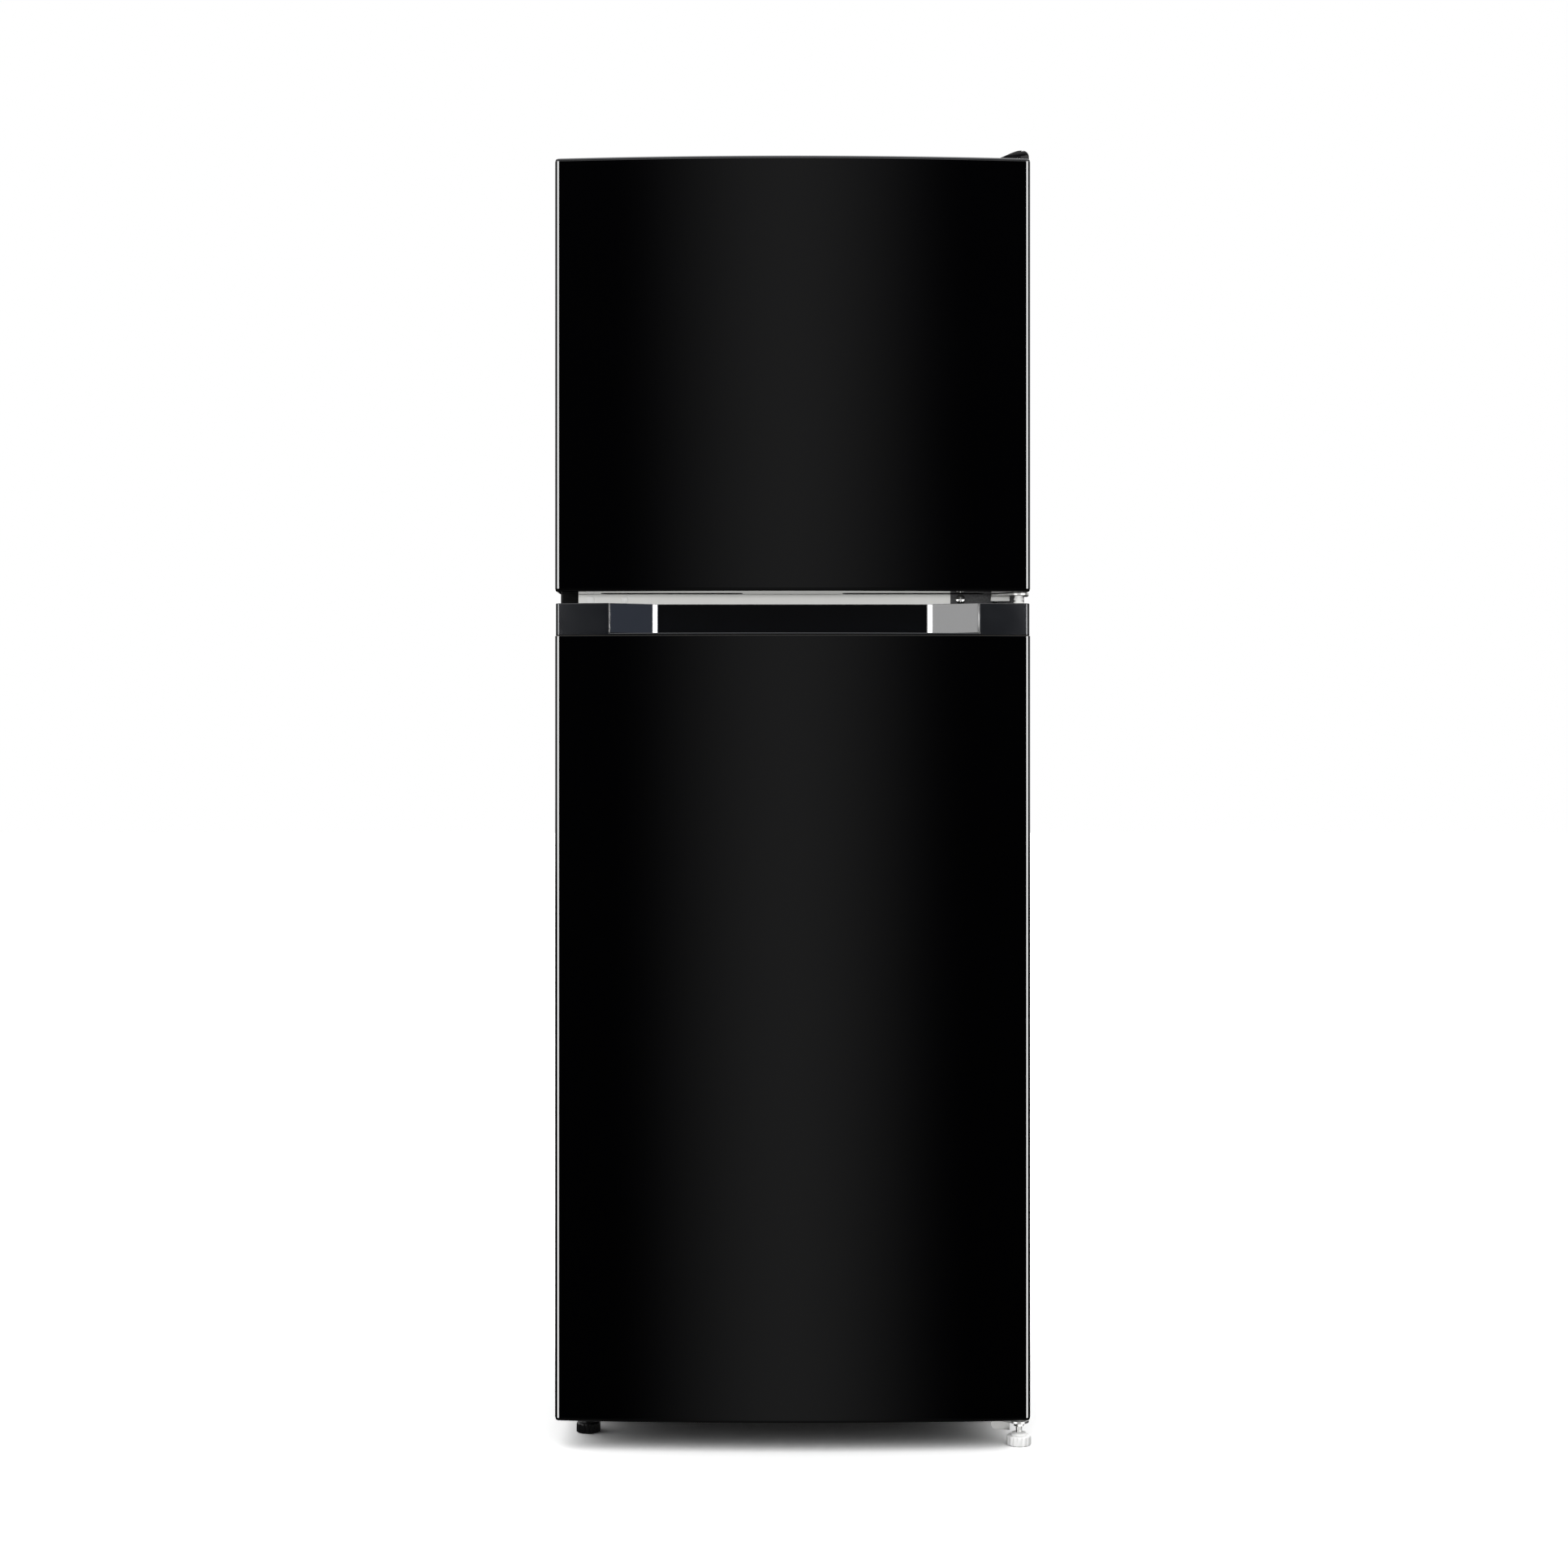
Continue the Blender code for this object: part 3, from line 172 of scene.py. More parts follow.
def clear(name, colour, rough, transmission=1.0, ior=1.49, scale=30.0):
    """Clear glass or plastic with faint waves in its surface."""
    n = Nodes(name)
    n.shader.inputs["Transmission Weight"].default_value = transmission
    n.set(IOR=ior)
    clouds = n.noise(scale)
    n.link(n.ramp(clouds, shade(colour, 0.97), shade(colour, 1.0)), "Base Color")
    n.link(n.spread(clouds, rough[0], rough[1]), "Roughness")
    n.bump(clouds, 0.02, 0.001)
    return n.material


MAT = {
    "door": plain("door_enamel", (0.0006, 0.0006, 0.0008), (0.045, 0.060), bump=0.002, grain=120.0,
        scale=8.0),
    "trim": plain("trim_plastic", (0.0035, 0.0042, 0.0060), (0.13, 0.16), bump=0.03, grain=1400.0,
        scale=20.0),
    "insert": plain("insert_plastic", (0.0010, 0.0013, 0.0022), (0.10, 0.13), bump=0.02, grain=1400.0,
        scale=20.0),
    "cabinet": textured_paint("cabinet_paint", (0.0075, 0.0075, 0.008), (0.34, 0.42)),
    "black": plain("black_plastic", (0.008, 0.008, 0.009), (0.30, 0.40), grain=1200.0),
    "cover": plain("cover_plastic", (0.003, 0.003, 0.0035), (0.06, 0.09), grain=900.0),
    "liner": plain("liner_plastic", (0.80, 0.80, 0.775), (0.31, 0.33), change=0.004, scale=4.0, bump=0.006),
    "white": plain("white_plastic", (0.84, 0.84, 0.825), (0.31, 0.34), change=0.006, scale=12.0, bump=0.01),
    "foot": plain("foot_plastic", (0.74, 0.74, 0.735), (0.38, 0.46), change=0.015, scale=80.0),
    "gasket": plain("gasket_rubber", (0.33, 0.33, 0.335), (0.52, 0.62), bump=0.08, grain=1500.0),
    "foam": plain("rigid_foam", (0.72, 0.58, 0.30), (0.85, 0.95), bump=0.5, grain=400.0, distance=0.001),
    "zinc": plain("zinc_plate", (0.64, 0.64, 0.625), (0.28, 0.36), change=0.04, scale=160.0, Metallic=1.0),
    # zinc darkened as painted shade, for the hinge plate in the gap behind the doors
    "zinc_painted_shade": plain("phosphated_steel", (0.070, 0.070, 0.072), (0.30, 0.45), change=0.3, scale=400.0,
        Metallic=0.7),
    "pin": plain("bright_steel", (0.66, 0.66, 0.65), (0.14, 0.22), change=0.05, scale=300.0, Metallic=1.0),
    "galvanised": spangle("galvanised_steel", (0.62, 0.63, 0.645), (0.40, 0.48)),
    "compressor": plain("compressor_enamel", (0.010, 0.010, 0.011), (0.28, 0.42), bump=0.12, grain=500.0),
    "copper": plain("copper_pipe", (0.70, 0.34, 0.19), (0.20, 0.36), change=0.16, scale=90.0, Metallic=1.0),
    "aluminium": plain("aluminium_fin", (0.74, 0.75, 0.76), (0.28, 0.42), change=0.05, Metallic=1.0),
    "glass": clear("shelf_glass", (0.90, 0.97, 0.945), (0.0, 0.01), ior=1.5),
    "clear": clear("clear_plastic", (0.90, 0.955, 0.975), (0.05, 0.08)),
    "frosted": clear("frosted_plastic", (0.93, 0.95, 0.96), (0.35, 0.42)),
    "ink": plain("dial_ink", (0.03, 0.035, 0.045), (0.4, 0.5)),
}
for dull in ("insert", "cover"):
    MAT[dull].node_tree.nodes["Principled BSDF"].inputs["Specular IOR Level"].default_value = 0.15
SLOT = {
    "door": "black_gloss", "trim": "black_trim", "insert": "black_trim", "cabinet": "black_cabinet",
    "black": "black_plastic", "cover": "black_plastic", "liner": "white_liner", "white": "white_plastic",
    "foot": "foot_white", "gasket": "gasket", "foam": "foam", "zinc": "zinc_steel",
    "zinc_painted_shade": "zinc_steel", "pin": "zinc_steel", "galvanised": "galvanised",
    "compressor": "compressor_black", "copper": "copper", "aluminium": "aluminium",
    "glass": "glass", "clear": "clear_plastic", "frosted": "clear_plastic", "ink": "black_plastic",
}


# ================================================================ shapes
def piece(name, mesh, look, body, nodes=(), smooth=32, bevel=0.0, segments=3, even=True):
    """A shown piece: it rides on a body, and stands for the CAD nodes that it replaces."""
    if isinstance(mesh, bmesh.types.BMesh):
        bmesh.ops.recalc_face_normals(mesh, faces=mesh.faces)
        data = bpy.data.meshes.new(name)
        mesh.to_mesh(data)
        mesh.free()
        mesh = data
    mesh.name = name
    mesh.materials.clear()
    mesh.materials.append(MAT[look])
    mesh.shade_smooth()
    mesh.set_sharp_from_angle(angle=math.radians(smooth))
    obj = bpy.data.objects.new(name, mesh)
    bpy.context.scene.collection.objects.link(obj)
    if bevel:
        edge = obj.modifiers.new("edge", "BEVEL")
        edge.width = bevel
        edge.segments = segments
        edge.limit_method = "ANGLE"
        edge.angle_limit = math.radians(smooth + 4)
    if even:
        shading = obj.modifiers.new("shading", "WEIGHTED_NORMAL")
        shading.weight = 100
        shading.keep_sharp = True
    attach(obj, body)
    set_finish(obj, SLOT[look])
    if nodes:
        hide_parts(*nodes)
    return obj


def cut(obj, *cutters):
    """Cuts closed meshes out of a piece, before its rounded edges are made."""
    for cutter in cutters:
        tool = bpy.data.objects.new("cutter", as_mesh(cutter))
        bpy.context.scene.collection.objects.link(tool)
        change = obj.modifiers.new("cut", "BOOLEAN")
        change.object = tool
        obj.modifiers.move(len(obj.modifiers) - 1, 0)
        data = evaluated_first(obj)
        obj.modifiers.remove(obj.modifiers[0])
        old, obj.data = obj.data, data
        bpy.data.meshes.remove(old)
        bpy.data.objects.remove(tool)
    return obj


def evaluated_first(obj):
    """The mesh after the first modifier only."""
    rest = list(obj.modifiers)[1:]
    for modifier in rest:
        modifier.show_viewport = False
    graph = bpy.context.evaluated_depsgraph_get()
    data = bpy.data.meshes.new_from_object(obj.evaluated_get(graph), depsgraph=graph)
    for modifier in rest:
        modifier.show_viewport = True
    return data


def as_mesh(shape):
    """A mesh from a bmesh, which is freed. A mesh comes back as it is."""
    if isinstance(shape, bmesh.types.BMesh):
        bmesh.ops.recalc_face_normals(shape, faces=shape.faces)
        data = bpy.data.meshes.new("shape")
        shape.to_mesh(data)
        shape.free()
        return data
    return shape


def merged(*shapes):
    """One bmesh from several."""
    bm = bmesh.new()
    for shape in shapes:
        data = as_mesh(shape)
        bm.from_mesh(data)
        bpy.data.meshes.remove(data)
    return bm


def loft(loops, closed=False, cap=True):
    """Skins loops of points that have equal counts. The ends are capped, or the last joins the first."""
    bm = bmesh.new()
    rings = [[bm.verts.new(p) for p in loop] for loop in loops]
    pairs = list(zip(rings, rings[1:]))
    if closed:
        pairs.append((rings[-1], rings[0]))
    for a, b in pairs:
        for i in range(len(a)):
            j = (i + 1) % len(a)
            bm.faces.new((a[i], a[j], b[j], b[i]))
    if cap and not closed:
        bm.faces.new(rings[0])
        bm.faces.new(rings[-1])
    return bm


def on_axis(axis, u, v, w):
    """A point whose height w is along the axis, and whose u, v are the two others in x, y, z order."""
    return {"X": (w, u, v), "Y": (u, w, v), "Z": (u, v, w)}[axis]


def prism(outline, low, high, axis="Z"):
    """An outline drawn out along an axis."""
    return loft([[on_axis(axis, u, v, w) for u, v in outline] for w in (low, high)])


def box(x, y, z, r=0.0, segments=3):
    """A box, with every edge rounded if r is given."""
    bm = bmesh.new()
    bmesh.ops.create_cube(bm, size=1.0)
    size = [hi - lo for lo, hi in (x, y, z)]
    middle = [(hi + lo) / 2 for lo, hi in (x, y, z)]
    bmesh.ops.transform(bm, matrix=Matrix.Translation(middle) @ Matrix.Diagonal((*size, 1.0)),
        verts=bm.verts)
    if r:
        bmesh.ops.bevel(bm, geom=bm.edges[:], offset=r, segments=segments, profile=0.5, affect="EDGES")
    return bm


def arc(centre, radius, start, end, steps):
    """Points along an arc, with its ends in degrees."""
    angles = [math.radians(start + (end - start) * i / steps) for i in range(steps + 1)]
    return [(centre[0] + radius * math.cos(a), centre[1] + radius * math.sin(a)) for a in angles]


def rrect(u, v, r, steps=6):
    """A rounded rectangle from (low, high) pairs. r is one radius, or four from the low-low corner on."""
    radii = [r] * 4 if isinstance(r, (int, float)) else r
    (u0, u1), (v0, v1) = u, v
    places = ((u0, v0, 1, 1, 180), (u1, v0, -1, 1, 270), (u1, v1, -1, -1, 0), (u0, v1, 1, -1, 90))
    points = []
    for (cu, cv, su, sv, start), radius in zip(places, radii):
        radius = max(radius, 1e-5)
        points += arc((cu + su * radius, cv + sv * radius), radius, start, start + 90, steps)
    return points


def inset(pair, amount):
    """A (low, high) pair with both ends moved in."""
    return (pair[0] + amount, pair[1] - amount)


def turned(profile, centre, axis="Z", sides=64):
    """(radius, height) points spun about an axis through centre."""
    loops = []
    for radius, height in profile:
        ring = []
        for i in range(sides):
            a = 2 * math.pi * i / sides
            u, v = max(radius, 1e-5) * math.cos(a), max(radius, 1e-5) * math.sin(a)
            ring.append(tuple(Vector(centre) + Vector(on_axis(axis, u, v, height))))
        loops.append(ring)
    return loft(loops)


def ring_loops(profile, centre, axis="Y", sides=64):
    """Open loops about an axis through centre, for a closed ring such as a collar or a tyre."""
    turns = [2 * math.pi * i / sides for i in range(sides)]
    return [
        [tuple(Vector(centre) + Vector(on_axis(axis, r * math.cos(a), r * math.sin(a), h))) for a in turns]
        for r, h in profile
    ]


def rings(stations, axis="Y"):
    """Loops of rounded rectangles: (place, u pair, v pair, radius) each, with the place along the axis."""
    return [[on_axis(axis, a, b, place) for a, b in rrect(u, v, r)] for place, u, v, r in stations]


def nested(u, v, steps, axis="Y"):
    """Loops of one rounded rectangle at several places: (place, inset, radius) each."""
    return rings([(place, inset(u, d), inset(v, d), r) for place, d, r in steps], axis)


def hose(name, points, radius, look, body, nodes=()):
    """A bent pipe along a smooth line through its points."""
    line = smooth_line([Vector(p) for p in points])
    loops = []
    up = Vector((0.31, 0.17, 0.93)).normalized()
    for i, p in enumerate(line):
        ahead = (line[min(i + 1, len(line) - 1)] - line[max(i - 1, 0)]).normalized()
        side = ahead.cross(up).normalized()
        up = side.cross(ahead).normalized()
        ring = []
        for k in range(16):
            a = 2 * math.pi * k / 16
            ring.append(p + radius * (math.cos(a) * side + math.sin(a) * up))
        loops.append(ring)
    return piece(name, loft(loops), look, body, nodes)


def smooth_line(points, steps=6):
    """A Catmull-Rom line through the points."""
    ends = [2 * points[0] - points[1]] + points + [2 * points[-1] - points[-2]]
    line = []
    for a, b, c, d in zip(ends, ends[1:], ends[2:], ends[3:]):
        for i in range(steps):
            t = i / steps
            line.append(
                0.5 * ((2 * b) + (c - a) * t + (2 * a - 5 * b + 4 * c - d) * t**2
                    + (3 * b - a - 3 * c + d) * t**3)
            )
    return line + [points[-1]]


# ================================================================ doors, outside
SKIN_X, SKIN_Y, FREEZER_SKIN_Z = corners("freezer_door_skin")
FRIDGE_SKIN_Z = corners("fridge_door_skin")[2]
DOOR_HALF = SKIN_X[1]
DOOR_BACK = SKIN_Y[1]
CROWN = 0.016
DOOR_EDGE = SKIN_Y[0] + CROWN
CORNER = 0.006
CROWN_R = (DOOR_HALF**2 + CROWN**2) / (2 * CROWN)
HINGE = Vector((0.285, DOOR_EDGE + 0.024, 0.0))
PIN_REACH = 0.012


def crown_y(x):
    """The front skin's place in depth, at a distance from the middle."""
    return SKIN_Y[0] + CROWN_R - math.sqrt(CROWN_R**2 - x**2)


def crown_strip(half, shift, steps):
    """The crown's plan from left to right."""
    return [(x, crown_y(x) + shift) for x in (half * (2 * i / steps - 1) for i in range(steps + 1))]


def corner_strip(shift, steps=20):
    """The right hand front corner's plan, from the crown round to the side, at an inset."""
    flat = DOOR_HALF - CORNER
    start_y = crown_y(flat)
    tilt = math.degrees(math.asin(flat / CROWN_R))
    # the arc starts along the crown's own slope, so that no crease shows
    centre = (DOOR_HALF - CORNER, start_y + CORNER * math.cos(math.radians(tilt)))
    return arc(centre, CORNER - shift, 270 + tilt, 360, steps)


def front_strip(half, shift, steps=72):
    """The crown between the two corner arcs, eased at its ends so that it meets them."""
    crown = crown_strip(half, shift, steps)
    lift = corner_strip(shift)[0][1] - crown[-1][1]
    return [(x, y + lift * (x / half) ** 2) for x, y in crown]


def door_outline(shift, back, steps=72):
    """A door's plan, from its back left corner round its front to its back right corner, at an inset."""
    right = corner_strip(shift)
    left = [(-x, y) for x, y in reversed(right)]
    crown = front_strip(right[0][0], shift, steps)
    return [(-DOOR_HALF + shift, back)] + left[:-1] + crown + right[1:] + [(DOOR_HALF - shift, back)]


def door_skin(prefix, z, body, node):
    """The folded steel skin in three pieces: its crowned front, its rounded corners, and its folded sides."""
    thick, roll = 0.001, 0.0007
    right_in = corner_strip(thick)
    half = corner_strip(0.0)[0][0]
    plain_front = front_strip(half, 0.0)
    inner = [(x, y + thick) for x, y in reversed(plain_front)]
    fold = DOOR_HALF - 0.014
    fronts, rounds, sides = [], [], []
    for end, sign in ((z[0], 1), (z[1], -1)):
        turns = (0.0, 0.4, 0.8, 1.2, math.pi / 2)
        stations = [(roll * (1 - math.sin(t)), end + sign * roll * (1 - math.cos(t))) for t in turns]
        for shift, height in stations if sign == 1 else stations[::-1]:
            front = [(x, y + shift) for x, y in plain_front]
            fronts.append([(x, y, height) for x, y in front + inner])
            turn = corner_strip(shift)
            rounds.append([(x, y, height) for x, y in turn + right_in[::-1]])
            side = turn[-1:] + arc((DOOR_HALF - 0.0015, DOOR_BACK - 0.0015), 0.0015 - shift, 0, 90, 4)
            side += [(fold, DOOR_BACK - shift), (fold, DOOR_BACK - thick)]
            side += [(DOOR_HALF - thick, DOOR_BACK - thick), right_in[-1]]
            sides.append([(x, y, height) for x, y in side])
    piece(f"{prefix}_front", loft(fronts), "door", body, [node], smooth=30)
    for part, loops in (("corners", rounds), ("sides", sides)):
        both = merged(loft(loops), loft([[(-x, y, h) for x, y, h in loop] for loop in loops]))
        piece(f"{prefix}_{part}", both, "door", body, [node], smooth=30)


def cap_shape(z_edge, z_skin, radius, shift=0.0004):
    """An end cap with a quarter round edge, from its outer face at z_edge to the skin at z_skin."""
    sign = 1 if z_edge > z_skin else -1
    loops = [(shift + 0.0012, z_skin - sign * 0.004), (shift + 0.0012, z_skin - sign * 0.0001)]
    loops += [(shift, z_skin), (shift, z_edge - sign * radius)]
    for i in range(1, 6):
        t = math.pi / 2 * i / 5
        loops.append((shift + radius * (1 - math.cos(t)), z_edge - sign * radius * (1 - math.sin(t))))
    return loft([[(x, y, z) for x, y in door_outline(s, DOOR_BACK - s * 0.6)] for s, z in loops])


def pin_hole(low, high):
    """A cutter for a hole on the hinge axis."""
    return turned([(0, low), (0.0042, low), (0.0042, high), (0, high)], HINGE, sides=32)


def freezer_door():
    """The freezer door's skin, end caps and finger pockets."""
    body = "freezer_door"
    top, bottom = corners("freezer_door_top_cap"), corners("freezer_door_bottom_cap")
    z = FREEZER_SKIN_Z
    door_skin("freezer_door", z, body, "freezer_door_skin")
    cap = piece("freezer_top_cap", cap_shape(top[2][1], z[1] + 0.0001, 0.0028), "trim", body,
        ["freezer_door_top_cap"])
    cut(cap, pin_hole(top[2][1] - PIN_REACH, top[2][1] + 0.01))
    low = bottom[2][0]
    cap = piece("freezer_bottom_cap", cap_shape(low, z[0] - 0.0001, 0.0028), "door", body,
        ["freezer_door_bottom_cap"])
    pocket_y = (HINGE.y - 0.002, HINGE.y + 0.018)
    walls = []
    for side in (-1, 1):
        x = tuple(sorted((side * 0.063, side * 0.242)))
        mouth = rrect(x, pocket_y, 0.006)
        cut(cap, prism(mouth, low - 0.01, low + 0.0065))
        outer = nested(x, pocket_y, [(low + h, -0.0009, 0.0069) for h in (0.0006, 0.0165)], "Z")
        depths = ((0.0, 0.0006), (0.0, 0.0140), (0.0015, 0.0155))
        inner = nested(x, pocket_y, [(low + h, d, 0.006) for d, h in depths], "Z")
        walls.append(loft(outer[::-1] + inner))
    cut(cap, pin_hole(low - 0.01, low + PIN_REACH))
    piece("freezer_finger_pockets", merged(*walls), "black", body, smooth=40)


freezer_door()

# ---- the fridge door's handle trim
TRIM_Z = corners("fridge_door_handle_trim")[2]
RECESS = corners("handle_recess_insert")[0]
RAMP_X, WALL_X = 0.1765, 0.1688
RAMP_Y, BACK_Y = -0.2895, -0.2852
LIP_Z = corners("handle_recess_insert")[2][0]
BEZEL = 0.0018


def rounded_line(points, radius, steps=6):
    """A polyline with its inner corners rounded off."""
    line = [points[0]]
    for a, b, c in zip(points, points[1:], points[2:]):
        a, b, c = Vector(a), Vector(b), Vector(c)
        back, ahead = (a - b), (c - b)
        reach = min(radius, back.length * 0.48, ahead.length * 0.48)
        p, q = b + back.normalized() * reach, b + ahead.normalized() * reach
        for i in range(steps + 1):
            t = i / steps
            line.append(tuple((1 - t) ** 2 * p + 2 * t * (1 - t) * b + t**2 * q))
    return line + [points[-1]]


def scoop(offset):
    """The recess's plan from left to right, set back by offset."""
    left, right = RECESS
    line = [
        (left + BEZEL + 0.0001, crown_y(left) + 0.0022 + offset),
        (-RAMP_X, RAMP_Y + offset),
        (-WALL_X, BACK_Y + offset),
        (WALL_X, BACK_Y + offset),
        (RAMP_X, RAMP_Y + offset),
        (right - BEZEL - 0.0001, crown_y(right) + 0.0022 + offset),
    ]
    return rounded_line(line, 0.0016)


def fridge_door():
    """The fridge door's skin, bottom cap, and handle trim with its scooped recess."""
    body = "fridge_door"
    z = FRIDGE_SKIN_Z
    door_skin("fridge_door", z, body, "fridge_door_skin")
    low = corners("fridge_door_bottom_cap")[2][0]
    cap = piece("fridge_bottom_cap", cap_shape(low, z[0] - 0.0001, 0.0028), "door", body,
        ["fridge_door_bottom_cap"])
    cut(cap, pin_hole(low - 0.01, low + PIN_REACH))

    base, top = TRIM_Z
    shape = prism(door_outline(0.0009, DOOR_BACK), base, top)
    trim = piece("handle_trim", shape, "trim", body, ["fridge_door_handle_trim"], smooth=30, bevel=0.0010)
    line = scoop(0.0032)
    line[0] = (RECESS[0], line[0][1])
    line[-1] = (RECESS[1], line[-1][1])
    front = SKIN_Y[0] - 0.02
    cut(trim, prism(line + [(line[-1][0], front), (line[0][0], front)], LIP_Z - 0.0003, top + 0.01))
    slot = rrect((-0.160, 0.160), (-0.2782, -0.2625), 0.005)
    cut(trim, prism(slot, top - 0.022, top + 0.01), pin_hole(top - 0.0185, top + 0.01))
    insert = prism(scoop(0.0) + scoop(0.0024)[::-1], LIP_Z + 0.0002, top - 0.0002)
    piece("handle_recess", insert, "insert", body, ["handle_recess_insert"], smooth=40, bevel=0.0003,
        segments=1)
    wedges = []
    for end, turn in ((RECESS[0], 1), (RECESS[1], -1)):
        near, far = end + turn * 0.0002, end + turn * BEZEL
        outline = [(near, crown_y(near) + 0.0004), (far, crown_y(far) + 0.0024)]
        outline += [(far, crown_y(far) + 0.0040), (near, crown_y(near) + 0.0040)]
        wedges.append(prism(outline, LIP_Z + 0.0002, top - 0.0006))
    piece("handle_recess_bezel", merged(*wedges), "insert", body, ["handle_recess_insert"])


fridge_door()


# ================================================================ cabinet, outside
SHELL_X, SHELL_Y, SHELL_Z = corners("cabinet_shell")
FLANGE = 0.0225


def cabinet():
    """The painted wrap: an open box with rounded edges and a flange round its mouth."""
    body = "cabinet"
    r = 0.0035
    grown = box(SHELL_X, (SHELL_Y[0], SHELL_Y[1] + 0.02), (SHELL_Z[0] - 0.02, SHELL_Z[1]), r, 5)
    shell = piece("cabinet_wrap", grown, "cabinet", body, ["cabinet_shell"], smooth=30)
    far = (-3.0, 3.0)
    cut(shell, box(far, (SHELL_Y[1], 1.0), far), box(far, far, (-1.0, SHELL_Z[0])))
    room = box(inset(SHELL_X, 0.0012), (SHELL_Y[0] + 0.0012, 1.0), (-1.0, SHELL_Z[1] - 0.0012))
    opening = box(inset(SHELL_X, FLANGE), (-1.0, SHELL_Y[0] + 0.01),
        (SHELL_Z[0] + FLANGE, SHELL_Z[1] - FLANGE))
    cut(shell, room, opening)


cabinet()


# ---- crossbar, its plugs and screws
def crossbar():
    """The white bar between the doors, its two plugs, and the middle hinge's two screws."""
    x, y, z = corners("mullion_rail")
    shape = box(x, y, inset(z, 0.0063))
    piece("mullion", shape, "liner", "cabinet", ["mullion_rail"])
    for node, radius in (("outer_plug", 0.0055), ("inner_plug", 0.0048)):
        (x0, x1), (y0, y1), (z0, z1) = corners(node)
        centre = ((x0 + x1) / 2, y[0], (z0 + z1) / 2)
        dome = [(0, 0.0), (radius, 0.0), (radius, -0.0006)] + [
            (radius * math.cos(t), -0.0006 - 0.0014 * math.sin(t)) for t in (0.3, 0.6, 0.9, 1.2, 1.57)
        ]
        piece(f"{node}_head", turned(dome, centre, "Y", 40), "white", "cabinet", [node])
    for node in ("inner_hinge_screw", "outer_hinge_screw"):
        (x0, x1), (y0, y1), (z0, z1) = corners(node)
        cx, cz, r = (x0 + x1) / 2, (z0 + z1) / 2, (x1 - x0) / 2
        back = y0 + 0.0032
        dome = [(0, back + 0.004), (0.0023, back + 0.004), (0.0023, back), (r, back), (r, back - 0.0006)]
        dome += [(r * math.cos(t), back - 0.0006 - 0.0026 * math.sin(t))
            for t in (0.25, 0.5, 0.8, 1.1, 1.35, 1.57)]
        head = piece(f"{node}_pan", turned(dome, (cx, 0, cz), "Y", 48), "pin", "cabinet", [node])
        arms = [((cx - 0.0032, cx + 0.0032), (cz - 0.0006, cz + 0.0006)),
            ((cx - 0.0006, cx + 0.0006), (cz - 0.0032, cz + 0.0032))]
        cut(head, *[box(ax, (y0 - 0.01, y0 + 0.0018), az) for ax, az in arms])


crossbar()


# ---- hinges
def cylinder(centre, radius, low, high, axis="Z", edge=0.0004, sides=48):
    """A cylinder with small chamfers."""
    edge = min(edge, radius * 0.4, (high - low) * 0.4)
    profile = [(0, low), (radius - edge, low), (radius, low + edge), (radius, high - edge),
        (radius - edge, high), (0, high)]
    return turned(profile, centre, axis, sides)


def arm_outline(root, back, tip):
    """The plan of a hinge bracket's arm, from its root to its round tip on the hinge axis."""
    shoulder, left = -0.2585, 0.2515
    start = [(root[0], back), (root[0], shoulder), (left, shoulder), (left, -0.2680)]
    end = arc((HINGE.x, HINGE.y), tip, 215, 360, 24)
    return start + end + [(HINGE.x + tip, -0.262), (root[1], shoulder), (root[1], back)]


